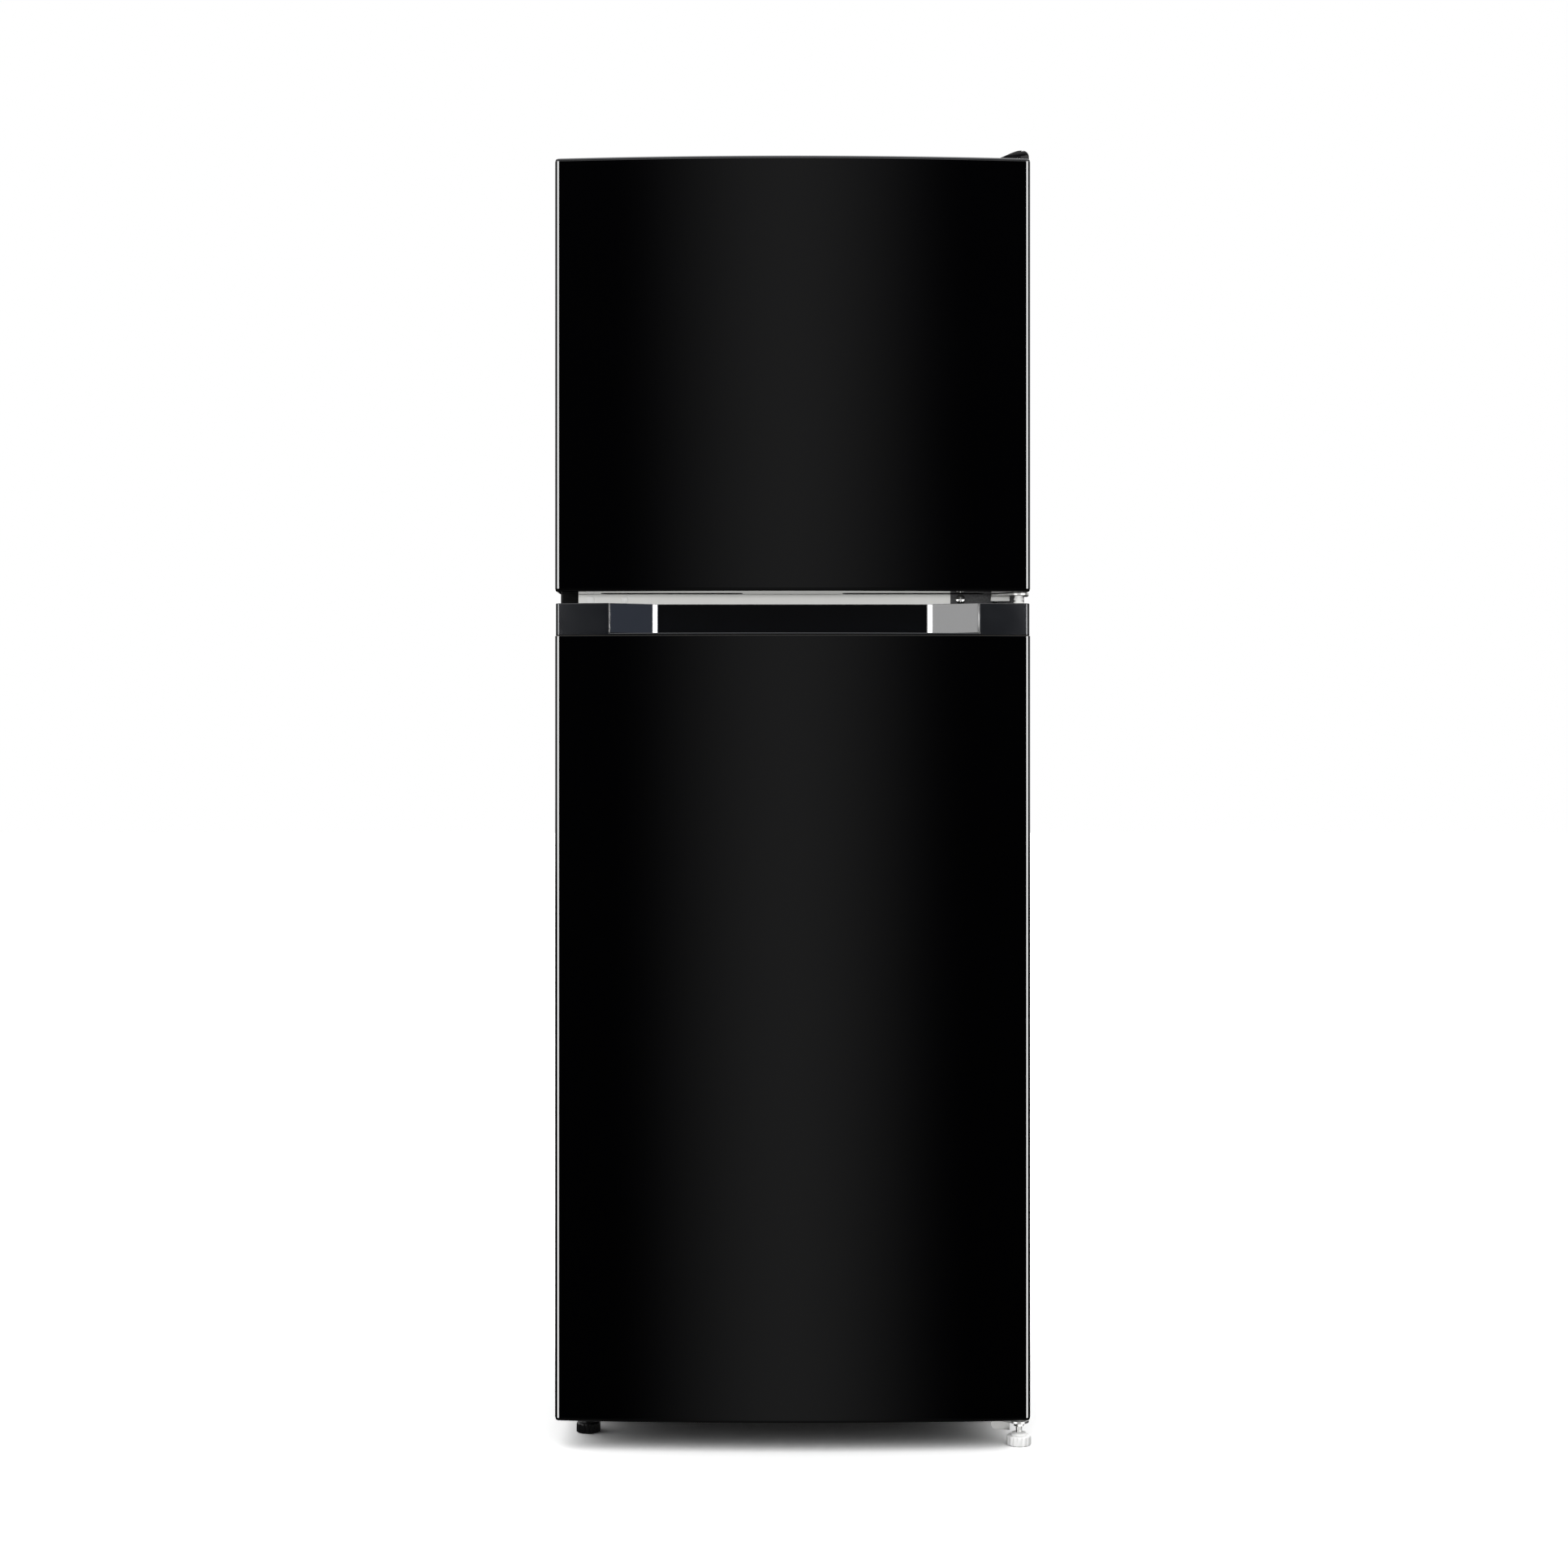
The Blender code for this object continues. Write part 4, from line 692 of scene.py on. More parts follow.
def hinges():
    """The top, middle and bottom hinge brackets, with their pins, cover and bush."""
    body = "cabinet"
    # top: the plate, its pin and the moulded cover
    (x0, x1), (y0, y1), (z0, z1) = corners("top_hinge_bracket")
    plate_z = (z1 - 0.003, z1)
    tip = arc((HINGE.x, HINGE.y), 0.0094, 190, 350, 24)
    tongue = [(x0, y1), (x0, HINGE.y)] + tip + [(x1, HINGE.y), (x1, y1)]
    piece(
        "top_hinge", merged(prism(tongue, *plate_z), cylinder(HINGE, 0.0035, z0, z1 - 0.001)), "zinc", body,
        ["top_hinge_bracket"], smooth=30, bevel=0.0003, segments=2,
    )
    (x0, x1), (y0, y1), (z0, z1) = corners("top_hinge_cover")
    base = z0
    hump = [(x0, base), (x0 + 0.0002, base + 0.0010)]
    crest, cx = z1, HINGE.x + 0.001
    ridge = [(x0 + 0.006, base + 0.0034), (x0 + 0.0125, base + 0.0064), (x0 + 0.0185, z1 - 0.0018),
        (x0 + 0.0225, z1 - 0.0005)]
    ridge += [(cx, crest), (x1 - 0.0060, crest - 0.0004), (x1 - 0.0030, crest - 0.0018),
        (x1 - 0.0010, crest - 0.0042), (x1, crest - 0.0070)]
    section = rounded_line(hump + ridge + [(x1, base)], 0.004, 3)

    def slice_at(y, scale):
        """The cover's section at y, drawn in towards its middle and its base."""
        mid = (x0 + x1) / 2 + 0.002
        return [(mid + (u - mid) * scale, y, base + (v - base) * scale) for u, v in section]

    loops = []
    for y, scale in ((y0, 0.90), (y0 + 0.0004, 0.94), (y0 + 0.0014, 0.975), (y0 + 0.003, 0.995),
        (y0 + 0.005, 1.0),
                     (y1 - 0.030, 1.0), (y1 - 0.012, 0.97), (y1 - 0.004, 0.90), (y1, 0.82)):
        loops.append(slice_at(y, scale))
    cover = piece("top_hinge_cap", loft(loops), "cover", body, ["top_hinge_cover"], smooth=50, even=False)
    cut(cover, box((0.2690, 0.2953), (y0 + 0.0012, y1 - 0.0012), (base - 0.01, plate_z[1] + 0.0003)))
    cut(cover, box((x0 - 0.01, x1 + 0.01), (SHELL_Y[0] - 0.0006, y1 + 0.01),
        (base - 0.01, SHELL_Z[1] + 0.0002)))

    # middle
    (x0, x1), (y0, y1), (z0, z1) = corners("mid_hinge_bracket")
    arm_z = (1.0690, 1.0720)
    plate_y = (y1 - 0.003, y1)
    plate = prism(rrect((x0, 0.290), (1.0525, 1.0780), 0.002), *plate_y, "Y")
    tongue = prism(arm_outline((0.2665, 0.2897), plate_y[1] - 0.001, 0.0125), *arm_z)
    hang = prism(rrect((0.2515, 0.2750), (1.0635, arm_z[1] - 0.0005), (0.0022, 0.001, 0.0003, 0.0022)),
        -0.2615, -0.2586, "Y")
    pin = cylinder(HINGE, 0.0035, z0, z1)
    piece("mid_hinge", merged(tongue, hang, pin), "zinc", body, ["mid_hinge_bracket"], smooth=30,
        bevel=0.0004, segments=2)
    # the plate is the same zinc bracket as the arm, in a darker copy: painted shade for the gap behind the
    # doors
    piece("mid_hinge_plate", plate, "zinc_painted_shade", body, ["mid_hinge_bracket"], smooth=30, bevel=0.0004,
        segments=2)
    (x0, x1), (y0, y1), (z0, z1) = corners("mid_hinge_bush")
    profile = [(0, z0), (0.0066, z0), (0.0068, z0 + 0.0003), (0.0068, z0 + 0.0024), (0.0064, z0 + 0.0030),
        (0.0050, z0 + 0.0034)]
    profile += [(0.0050, z0 + 0.0046), (0.0062, z0 + 0.0050), (0.0062, z1 - 0.0030), (0.0054, z1 - 0.0026),
        (0.0054, z1), (0, z1)]
    piece("mid_bush", turned(profile, HINGE), "white", body, ["mid_hinge_bush"])

    # bottom
    (x0, x1), (y0, y1), (z0, z1) = corners("bottom_hinge_bracket")
    arm_z = (0.0285, 0.0315)
    tongue = prism(arm_outline((0.2520, 0.2940), -0.2395, 0.0125), *arm_z)
    riser = box((0.2522, 0.2938), (-0.242, -0.239), (arm_z[0], 0.0470), 0.0004, 2)
    foot = box((0.2520, 0.2940), (-0.241, -0.170), (0.0447, 0.0477), 0.0006, 2)
    line = [(0.2750, arm_z[1] - 0.0005), (0.2515, arm_z[1] - 0.0005), (0.2515, 0.0215)]
    line += arc((0.2575, 0.0208), 0.006, 185, 258, 8) + [(0.2750, 0.0138)]
    skirt = prism(line, -0.2615, -0.2586, "Y")
    washer = cylinder(HINGE, 0.0078, arm_z[0] - 0.0014, arm_z[0] - 0.0001)
    nut_line = arc((HINGE.x, HINGE.y), 0.0068, 15, 315, 5)
    nut = prism(nut_line, arm_z[0] - 0.0046, arm_z[0] - 0.0014)
    pin = cylinder(HINGE, 0.0035, arm_z[0], z1)
    piece(
        "bottom_hinge", merged(tongue, riser, foot, skirt, washer, nut, pin),
        "zinc", body, ["bottom_hinge_bracket"],
        smooth=30, bevel=0.0004, segments=2,
    )


hinges()


# ---- levelling feet
def levelling_foot(node, look, body, stem_look):
    """A fluted foot on its threaded stem."""
    (x0, x1), (y0, y1), (z0, z1) = corners(node)
    cx, cy, r = (x0 + x1) / 2, (y0 + y1) / 2, (x1 - x0) / 2
    top = 0.0128
    flutes, sides = 14, 14 * 12
    rows = [(0.90, 0.0, 0.0), (0.965, 0.0006, 0.4), (1.0, 0.0018, 1.0), (1.0, top - 0.0030, 1.0),
        (0.985, top - 0.0016, 0.8)]
    rows += [(0.955, top - 0.0006, 0.4), (0.90, top, 0.0), (0.66, top + 0.0003, 0.0),
        (0.63, top + 0.0022, 0.0), (0.58, top + 0.0030, 0.0), (0.34, top + 0.0032, 0.0)]
    loops = []
    for share, z, depth in rows:
        ring = []
        for i in range(sides):
            a = 2 * math.pi * i / sides
            wave = abs(math.sin(flutes * a / 2)) ** 0.6
            radius = r * share - 0.0011 * depth * (1 - wave)
            ring.append((cx + radius * math.cos(a), cy + radius * math.sin(a), z))
        loops.append(ring)
    piece(f"{node}_knob", loft(loops), look, body, [node], smooth=45)
    thread = [(0, 0.006)]
    z, pitch = 0.0075, 0.00125
    while z + pitch < z1 - 0.0002:
        thread += [(0.0036, z), (0.0042, z + pitch / 2)]
        z += pitch
    thread += [(0.0036, z), (0.0034, z1 - 0.0003), (0, z1 - 0.0003)]
    piece(f"{node}_stem", turned(thread, (cx, cy, 0), sides=32), stem_look, body, [node], smooth=60)


levelling_foot("right_foot", "foot", "right_foot_body", "pin")
# the left foot is the same part as the white right foot, coloured black as painted shade so that it sinks
# into the shadow under the cabinet
levelling_foot("left_foot", "black", "left_foot_body", "zinc")


# ================================================================ rooms
FREEZER_BACK = corners("freezer_liner")[1][1] - 0.002
FRIDGE_BACK = corners("fridge_liner")[1][1] - 0.002
FREEZER_ROOM_X = inset(corners("freezer_shelf")[0], -0.0015)
FREEZER_ROOM_Z = inset(corners("freezer_air_cover")[2], -0.002)
FRIDGE_ROOM_X = inset(corners("upper_shelf")[0], -0.0015)
FRIDGE_ROOM_Z = (corners("crisper_drawer")[2][0] - 0.004, corners("mullion_rail")[2][0])
STEP = (corners("crisper_drawer")[1][1] + 0.006, corners("crisper_cover")[2][0] + 0.002)
MOUTH = 0.006
LIP_Y = corners("mullion_rail")[1][0]


def liner_shell(room_x, room_z, lip_x, lip_z, back):
    """A vacuum formed tub: its front lip, the rounded mouth, the walls and the rounded back."""
    wall, corner = 0.0015, 0.014
    stations = [
        (back + wall, inset(room_x, -wall), inset(room_z, -wall), corner),
        (LIP_Y + 0.004, inset(room_x, -wall), inset(room_z, -wall), corner),
        (LIP_Y + 0.002, lip_x, lip_z, 0.002),
        (LIP_Y, lip_x, lip_z, 0.002),
    ]
    for i in range(7):
        t = math.pi / 2 * i / 6
        grow = MOUTH * (1 - math.sin(t))
        stations.append((LIP_Y + MOUTH * (1 - math.cos(t)), inset(room_x, -grow), inset(room_z, -grow),
            corner + grow))
    stations.append((LIP_Y + 0.05, room_x, room_z, corner))
    deep = 0.012
    for i in range(7):
        t = math.pi / 2 * i / 6
        draw = deep * (1 - math.cos(t))
        stations.append((back - deep + deep * math.sin(t), inset(room_x, draw), inset(room_z, draw),
            corner))
    return loft(rings(stations))


def ledge_pair(room_x, shelf_z, y):
    """The two ledges in a liner's walls that hold a shelf."""
    shapes = []
    for side, wall in ((1, room_x[0]), (-1, room_x[1])):
        x = sorted((wall - side * 0.001, wall + side * 0.007))
        shapes.append(box(x, y, (shelf_z - 0.008, shelf_z - 0.0003), 0.0018, 3))
    return shapes


def liners():
    """Both food liners, and the step in the fridge liner over the compressor."""
    lip_x = corners("mullion_rail")[0]
    freezer_lip = (FREEZER_ROOM_Z[0] - MOUTH - 0.0001, corners("freezer_liner")[2][1])
    shell = liner_shell(FREEZER_ROOM_X, FREEZER_ROOM_Z, lip_x, freezer_lip, FREEZER_BACK)
    shelf = corners("freezer_shelf")[2][0] + 0.010
    piece("freezer_tub", merged(shell, *ledge_pair(FREEZER_ROOM_X, shelf, (-0.171, 0.16))), "liner",
        "cabinet", ["freezer_liner"])

    fridge_lip = (corners("fridge_liner")[2][0], FRIDGE_ROOM_Z[1] + MOUTH + 0.0001)
    shell = liner_shell(FRIDGE_ROOM_X, FRIDGE_ROOM_Z, lip_x, fridge_lip, FRIDGE_BACK)
    tub = piece("fridge_tub", shell, "liner", "cabinet", ["fridge_liner"])
    cut(tub, box((-0.4, 0.4), (STEP[0] + 0.0015, 0.5), (0.0, STEP[1] - 0.0015)))
    wall = 0.0015
    floor = FRIDGE_ROOM_Z[0]
    face = [(STEP[0], floor - 0.001)] + arc((STEP[0] + 0.012, STEP[1] - 0.012), 0.012, 180, 90, 8)
    face += [(FRIDGE_BACK + 0.001, STEP[1]), (FRIDGE_BACK + 0.001, STEP[1] - wall)]
    face += arc((STEP[0] + 0.012, STEP[1] - 0.012), 0.012 - wall, 90, 180, 8)
    face.append((STEP[0] + wall, floor - 0.001))
    hump = prism(face, *inset(FRIDGE_ROOM_X, -0.001), "X")
    ledges = []
    for node in ("lower_shelf", "upper_shelf", "crisper_cover"):
        ledges += ledge_pair(FRIDGE_ROOM_X, corners(node)[2][0] + 0.010, (-0.170, 0.20))
    piece("fridge_tub_step", merged(hump, *ledges), "liner", "cabinet", ["fridge_liner"])


liners()


def door_liner(node, name, body, dyke_half, dyke_z, bins):
    """The white inner panel: its plate, the raised border round the bins, and the bins' ledges."""
    plate_x, reach, plate_z = corners(node)
    dyke_x = (-dyke_half, dyke_half)
    base, crest = DOOR_BACK, reach[1]
    stations = [
        (reach[0], plate_x, plate_z, 0.004),
        (base - 0.0006, plate_x, plate_z, 0.004),
        (base, inset(plate_x, 0.0006), inset(plate_z, 0.0006), 0.004),
    ]
    profile = [(base, -0.005), (base + 0.0006, -0.0022), (base + 0.0022, -0.0006), (base + 0.005, 0.0)]
    profile += [(crest - 0.0050, 0.0010), (crest - 0.0022, 0.0019), (crest - 0.0007, 0.0035),
        (crest, 0.0062)]
    profile += [(crest, 0.0098), (crest - 0.0007, 0.0125), (crest - 0.0022, 0.0141),
        (crest - 0.0050, 0.0150)]
    profile += [(base + 0.0040, 0.0160), (base + 0.0012, 0.0172), (base + 0.0004, 0.0200)]
    for y, d in profile:
        stations.append((y, inset(dyke_x, d), inset(dyke_z, d), max(0.018 - d, 0.004)))
    shapes = [loft(rings(stations))]
    inner = dyke_half - 0.016
    for bin_node in bins:
        z = corners(bin_node)[2][0]
        for side in (-1, 1):
            x = sorted((side * (inner - 0.010), side * (inner + 0.003)))
            shapes.append(box(x, (base - 0.0005, crest - 0.006), (z - 0.006, z - 0.0003), 0.0012, 3))
    return piece(name, merged(*shapes), "liner", body, [node])


def gasket(node, body):
    """The magnetic seal, with its bellows."""
    x, y, z = corners(node)
    profile = [(0.0012, 0.0), (0.0, 0.0050), (0.0026, 0.0072), (0.0026, 0.0086), (0.0004, 0.0110),
        (0.0006, 0.0142)]
    profile += [(0.0018, 0.0154), (0.0142, 0.0154), (0.0154, 0.0142), (0.0156, 0.0110), (0.0134, 0.0086)]
    profile += [(0.0134, 0.0072), (0.0160, 0.0050), (0.0148, 0.0)]
    loops = rings([(y[0] + h, inset(x, d), inset(z, d), max(0.012 - d * 0.6, 0.002)) for d, h in profile])
    piece(f"{node}_seal", loft(loops, closed=True), "gasket", body, [node], smooth=50)


def tub(x, y, z, r, wall=0.0025, draft=0.002, rim=0.0012):
    """An open moulded tub with a rolled rim. r is its corner radius, or four of them."""
    radii = [r] * 4 if isinstance(r, (int, float)) else list(r)
    low, high = z
    outside = [(low, draft + 0.0050), (low + 0.0008, draft + 0.0022), (low + 0.0025, draft + 0.0006),
        (low + 0.0055, draft)]
    outside += [(high - 0.0075, rim), (high - 0.0066, 0.0002), (high - 0.0058, 0.0), (high - 0.0007, 0.0),
        (high, 0.0007)]
    inside = [(high, wall), (high - 0.0007, wall + 0.0005), (high - 0.008, wall + 0.0008),
        (low + 0.007, wall + draft)]
    inside += [(low + 0.0042, wall + draft + 0.0012), (low + wall, wall + draft + 0.0045)]
    stations = [[(a, b, h) for a, b in rrect(inset(x, d), inset(y, d), [max(q - d, 0.0015) for q in radii])]
        for h, d in outside + inside]
    return loft(stations)


def look_of(node):
    """The look of a clear or a white plastic node."""
    slot_name = next(s["material_slot"] for s in frame["record"]["subparts"] if s["node"] == node)
    return "clear" if slot_name == "clear_plastic" else "white"


def door_insides():
    """The door liners, their gaskets and their bins."""
    freezer_bins = ("freezer_upper_bin", "freezer_lower_bin")
    fridge_bins = ("upper_door_bin", "middle_door_bin", "bottle_bin")
    dyke = 0.015
    z = inset(FREEZER_ROOM_Z, dyke)
    door_liner("freezer_door_liner", "freezer_door_panel", "freezer_door", FREEZER_ROOM_X[1] - 0.012, z,
        freezer_bins)
    z = (FRIDGE_ROOM_Z[0] + dyke, FRIDGE_ROOM_Z[1] - dyke)
    door_liner("fridge_door_liner", "fridge_door_panel", "fridge_door", FRIDGE_ROOM_X[1] - 0.012, z,
        fridge_bins)
    gasket("freezer_door_gasket", "freezer_door")
    gasket("fridge_door_gasket", "fridge_door")
    for node in freezer_bins + fridge_bins:
        body = "freezer_door" if node in freezer_bins else "fridge_door"
        x, y, z = corners(node)
        shape = tub(x, y, z, (0.004, 0.004, 0.020, 0.020))
        bands = []
        # two raised lines along the front of the bin, as mouldings have
        for share in (0.30, 0.42):
            height = z[0] + share * (z[1] - z[0])
            bands.append(box((x[0] + 0.024, x[1] - 0.024), (y[1] - 0.0020, y[1] - 0.0006),
                (height, height + 0.0022), 0.0005, 2))
        piece(f"{node}_tray", merged(shape, *bands), look_of(node), body, [node], smooth=50)


door_insides()


# ================================================================ shelves and drawers
def glass_shelf(node):
    """A glass pane in its white frame, with a nose in front and a stop behind."""
    x, y, z = corners(node)
    slab, back = z[0] + 0.010, y[1]
    front = y[0] + 0.001
    edge = ((0.0006, 0.0), (0.0, 0.0006), (0.0, 0.0054), (0.0006, 0.006))
    edge += ((0.0094, 0.006), (0.0100, 0.0054), (0.0100, 0.0006), (0.0094, 0.0))
    frame_loops = nested(x, (front + 0.004, back), [(slab + h, d, 0.004) for d, h in edge], "Z")
    clear = x[1] - 0.0065
    nose = box((-clear, clear), (y[0], y[0] + 0.013), (z[0], slab + 0.008), 0.0038, 5)
    stop = box(inset(x, 0.001), (back - 0.009, back - 0.001), (slab + 0.001, z[1]), 0.0018, 3)
    piece(f"{node}_frame", merged(loft(frame_loops, closed=True), nose, stop), "white", "cabinet", [node])
    pane = box(inset(x, 0.006), (front + 0.009, back - 0.006), (slab + 0.0012, slab + 0.0050), 0.0004, 2)
    piece(f"{node}_pane", pane, "glass", "cabinet", [node])


for shelf_node in ("freezer_shelf", "upper_shelf", "lower_shelf", "crisper_cover"):
    glass_shelf(shelf_node)


def crisper():
    """The clear vegetable drawer, with a dipped front and a grip."""
    x, y, z = corners("crisper_drawer")
    shape = tub(x, y, z, (0.012, 0.012, 0.020, 0.020), wall=0.0028, draft=0.004)
    drawer = piece("crisper_tub", shape, "clear", "crisper", ["crisper_drawer"], smooth=50)
    dip = rounded_line([(-0.110, z[1] + 0.01), (-0.085, z[1] + 0.001), (-0.072, z[1] - 0.022),
        (0.072, z[1] - 0.022),
                        (0.085, z[1] + 0.001), (0.110, z[1] + 0.01)], 0.010, 6)
    cut(drawer, prism(dip, y[0] - 0.01, y[0] + 0.012, "Y"))
    bar = box((-0.0715, 0.0715), (y[0] + 0.0006, y[0] + 0.016), (z[1] - 0.0262, z[1] - 0.0225), 0.0015, 3)
    ridges = [box((x[0] + 0.03, x[1] - 0.03), (y[0] - 0.0004, y[0] + 0.003), (h, h + 0.003), 0.0007, 2)
              for h in (z[0] + 0.040, z[0] + 0.050)]
    piece("crisper_grip", merged(bar, *ridges), "clear", "crisper", ["crisper_drawer"])


crisper()


def ice_tray():
    """A tray of 3 by 6 cells."""
    x, y, z = corners("ice_tray")
    low, high = z
    outer = [(low, 0.006, 0.006), (low + 0.004, 0.005, 0.008), (high - 0.006, 0.003, 0.010)]
    outer += [(high - 0.0055, 0.0, 0.012), (high - 0.0005, 0.0, 0.012), (high, 0.0006, 0.012)]
    block = loft(nested(x, y, outer, "Z"))
    tray = piece("ice_cube_tray", block, "white", "cabinet", ["ice_tray"], smooth=40)
    across, along, gap, rim = 3, 6, 0.0045, 0.008
    w = (x[1] - x[0] - 2 * rim - gap * (across - 1)) / across
    d = (y[1] - y[0] - 2 * rim - gap * (along - 1)) / along
    hollow = [(low + 0.004, 0.006, 0.003), (low + 0.008, 0.0035, 0.005)]
    hollow += [(high - 0.001, 0.0004, 0.006), (high + 0.002, -0.0014, 0.0075)]
    cells = []
    for i in range(across):
        for j in range(along):
            u = (x[0] + rim + i * (w + gap), x[0] + rim + i * (w + gap) + w)
            v = (y[0] + rim + j * (d + gap), y[0] + rim + j * (d + gap) + d)
            cells.append(loft(nested(u, v, hollow, "Z")))
    cut(tray, merged(*cells))


ice_tray()


# ================================================================ controls and air
KNOB_BOX = corners("thermostat_knob")
KNOB = Vector(((KNOB_BOX[0][0] + KNOB_BOX[0][1]) / 2, corners("control_housing")[1][0] + 0.116,
    (KNOB_BOX[2][0] + KNOB_BOX[2][1]) / 2))


def controls():
    """The control housing with its lamp, light switch and thermostat dial."""
    x, y, z = corners("control_housing")
    face, top = KNOB.y, z[1]
    body_x, body_y = (x[0], -x[0]), (face, -face)
    steps = [(z[0], 0.006, 0.006), (z[0] + 0.0008, 0.0032, 0.007), (z[0] + 0.0026, 0.0010, 0.008)]
    steps += [(z[0] + 0.006, 0.0, 0.009), (top, 0.0, 0.009)]
    shape = loft(nested(body_x, body_y, steps, "Z"))
    shell = piece("control_cover", shape, "white", "cabinet", ["control_housing"], smooth=40)
    lens_x, lens_y, lens_z = corners("lamp_lens")
    cut(shell, prism(rrect(inset(lens_x, -0.0006), inset(lens_y, -0.0006), 0.004), z[0] - 0.01,
        z[0] + 0.022))
    cut(shell, *[box((0.036 + 0.009 * i, 0.041 + 0.009 * i), (-0.052, 0.062), (z[0] - 0.01, z[0] + 0.012))
        for i in range(7)])
    vent_y, vent_z = (face - 0.01, face + 0.010), (KNOB.z - 0.009, KNOB.z + 0.011)
    cut(shell, *[box((-0.098 + 0.012 * i, -0.091 + 0.012 * i), vent_y, vent_z) for i in range(9)])
    plunger = corners("light_switch_plunger")
    px, pz = sum(plunger[0]) / 2, sum(plunger[2]) / 2
    boss = box((px - 0.013, px + 0.013), (y[0], -0.080), (pz - 0.012, top - 0.0002), 0.003, 4)
    boss = piece("switch_boss", boss, "white", "cabinet", ["control_housing"])
    cut(boss, turned([(0, y[0] - 0.01), (0.0045, y[0] - 0.01), (0.0045, -0.187), (0, -0.187)], (px, 0, pz),
        "Y", 40))
    collar = [(0.0046, y[0] + 0.0008), (0.0046, y[0] - 0.0006), (0.0052, y[0] - 0.0010),
        (0.0074, y[0] - 0.0010), (0.0080, y[0] - 0.0004), (0.0080, y[0] + 0.0008)]
    loops = ring_loops(collar, (px, 0, pz), sides=40)
    piece("switch_collar", loft(loops, closed=True), "white", "cabinet", ["control_housing"])
    bridge = box((-x[0] - 0.002, px - 0.011), (-0.0995, -0.0805), (pz - 0.011, top - 0.001), 0.0015, 3)
    piece("switch_bridge", bridge, "white", "cabinet", ["control_housing"])
    tip = plunger[1][0]
    rod = [(0, plunger[1][1]), (0.004, plunger[1][1]), (0.004, tip + 0.0022), (0.0036, tip + 0.0010),
        (0.0026, tip + 0.0003), (0.001, tip), (0, tip)]
    piece("switch_plunger", turned(rod, (px, 0, pz), "Y", 40), "white", "light_switch",
        ["light_switch_plunger"])

    ribs = []
    count = 20
    pitch = (lens_x[1] - lens_x[0] - 0.008) / count
    for i in range(count):
        left = lens_x[0] + 0.004 + i * pitch
        ribs += [(left, lens_z[0] + 0.0018), (left + pitch / 2, lens_z[0] + 0.0004)]
    outline = [(lens_x[0], lens_z[1]), (lens_x[0], lens_z[0] + 0.0014),
        (lens_x[0] + 0.0014, lens_z[0])] + ribs
    outline += [(lens_x[1] - 0.004, lens_z[0] + 0.0018), (lens_x[1] - 0.0014, lens_z[0]),
        (lens_x[1], lens_z[0] + 0.0014), (lens_x[1], lens_z[1])]
    piece("lamp_cover", prism(outline, *lens_y, "Y"), "frosted", "cabinet", ["lamp_lens"], smooth=20)
    socket = [(0, -0.028), (0.012, -0.028), (0.013, -0.026), (0.013, 0.0), (0.010, 0.002), (0, 0.002)]
    middle = (sum(lens_x) / 2, sum(lens_y) / 2 + 0.030, z[0] + 0.016)
    piece("lamp_socket", turned(socket, middle, "Y", 32), "white", "cabinet", ["lamp_lens"])

    rim = KNOB_BOX[0][1] - KNOB.x
    dial = [(0, -0.0105), (rim - 0.0040, -0.0105), (rim - 0.0026, -0.0101), (rim - 0.0016, -0.0090),
        (rim - 0.0006, -0.0030), (rim, -0.0018), (rim, -0.0003), (0, -0.0003)]
    loops = []
    flutes, sides = 36, 216
    for r, h in dial:
        ring = []
        for i in range(sides):
            a = 2 * math.pi * i / sides
            grip = 0.0004 * (math.cos(flutes * a) - 1) if -0.0095 < h < -0.0025 else 0.0
            radius = max(r + grip, 1e-5)
            ring.append((KNOB.x + radius * math.cos(a), KNOB.y + h, KNOB.z + radius * math.sin(a)))
        loops.append(ring)
    handle = box((KNOB.x - 0.0025, KNOB.x + 0.0025), (KNOB_BOX[1][0], KNOB.y - 0.009),
        (KNOB.z - 0.0138, KNOB.z + 0.0138), 0.0009, 3)
    piece("dial_knob", merged(loft(loops), handle), "white", "thermostat", ["thermostat_knob"], smooth=40)
    mark = box((KNOB.x - 0.0006, KNOB.x + 0.0006), (KNOB_BOX[1][0] - 0.0002, KNOB_BOX[1][0] + 0.002),
        (KNOB.z + 0.002, KNOB.z + 0.0125), 0.0002, 1)
    piece("dial_mark", mark, "ink", "thermostat", ["thermostat_knob"])
    dots = []
    for i in range(7):
        a = math.radians(150 - 50 * i)
        centre = (KNOB.x - 0.0208 * math.sin(a), 0, KNOB.z + 0.0208 * math.cos(a))
        r = 0.0007 + 0.00012 * i
        dot = [(0, face - 0.0003), (r, face - 0.0003), (r, face + 0.001), (0, face + 0.001)]
        dots.append(turned(dot, centre, "Y", 20))
    piece("dial_scale", merged(*dots), "ink", "cabinet", ["control_housing"])


controls()


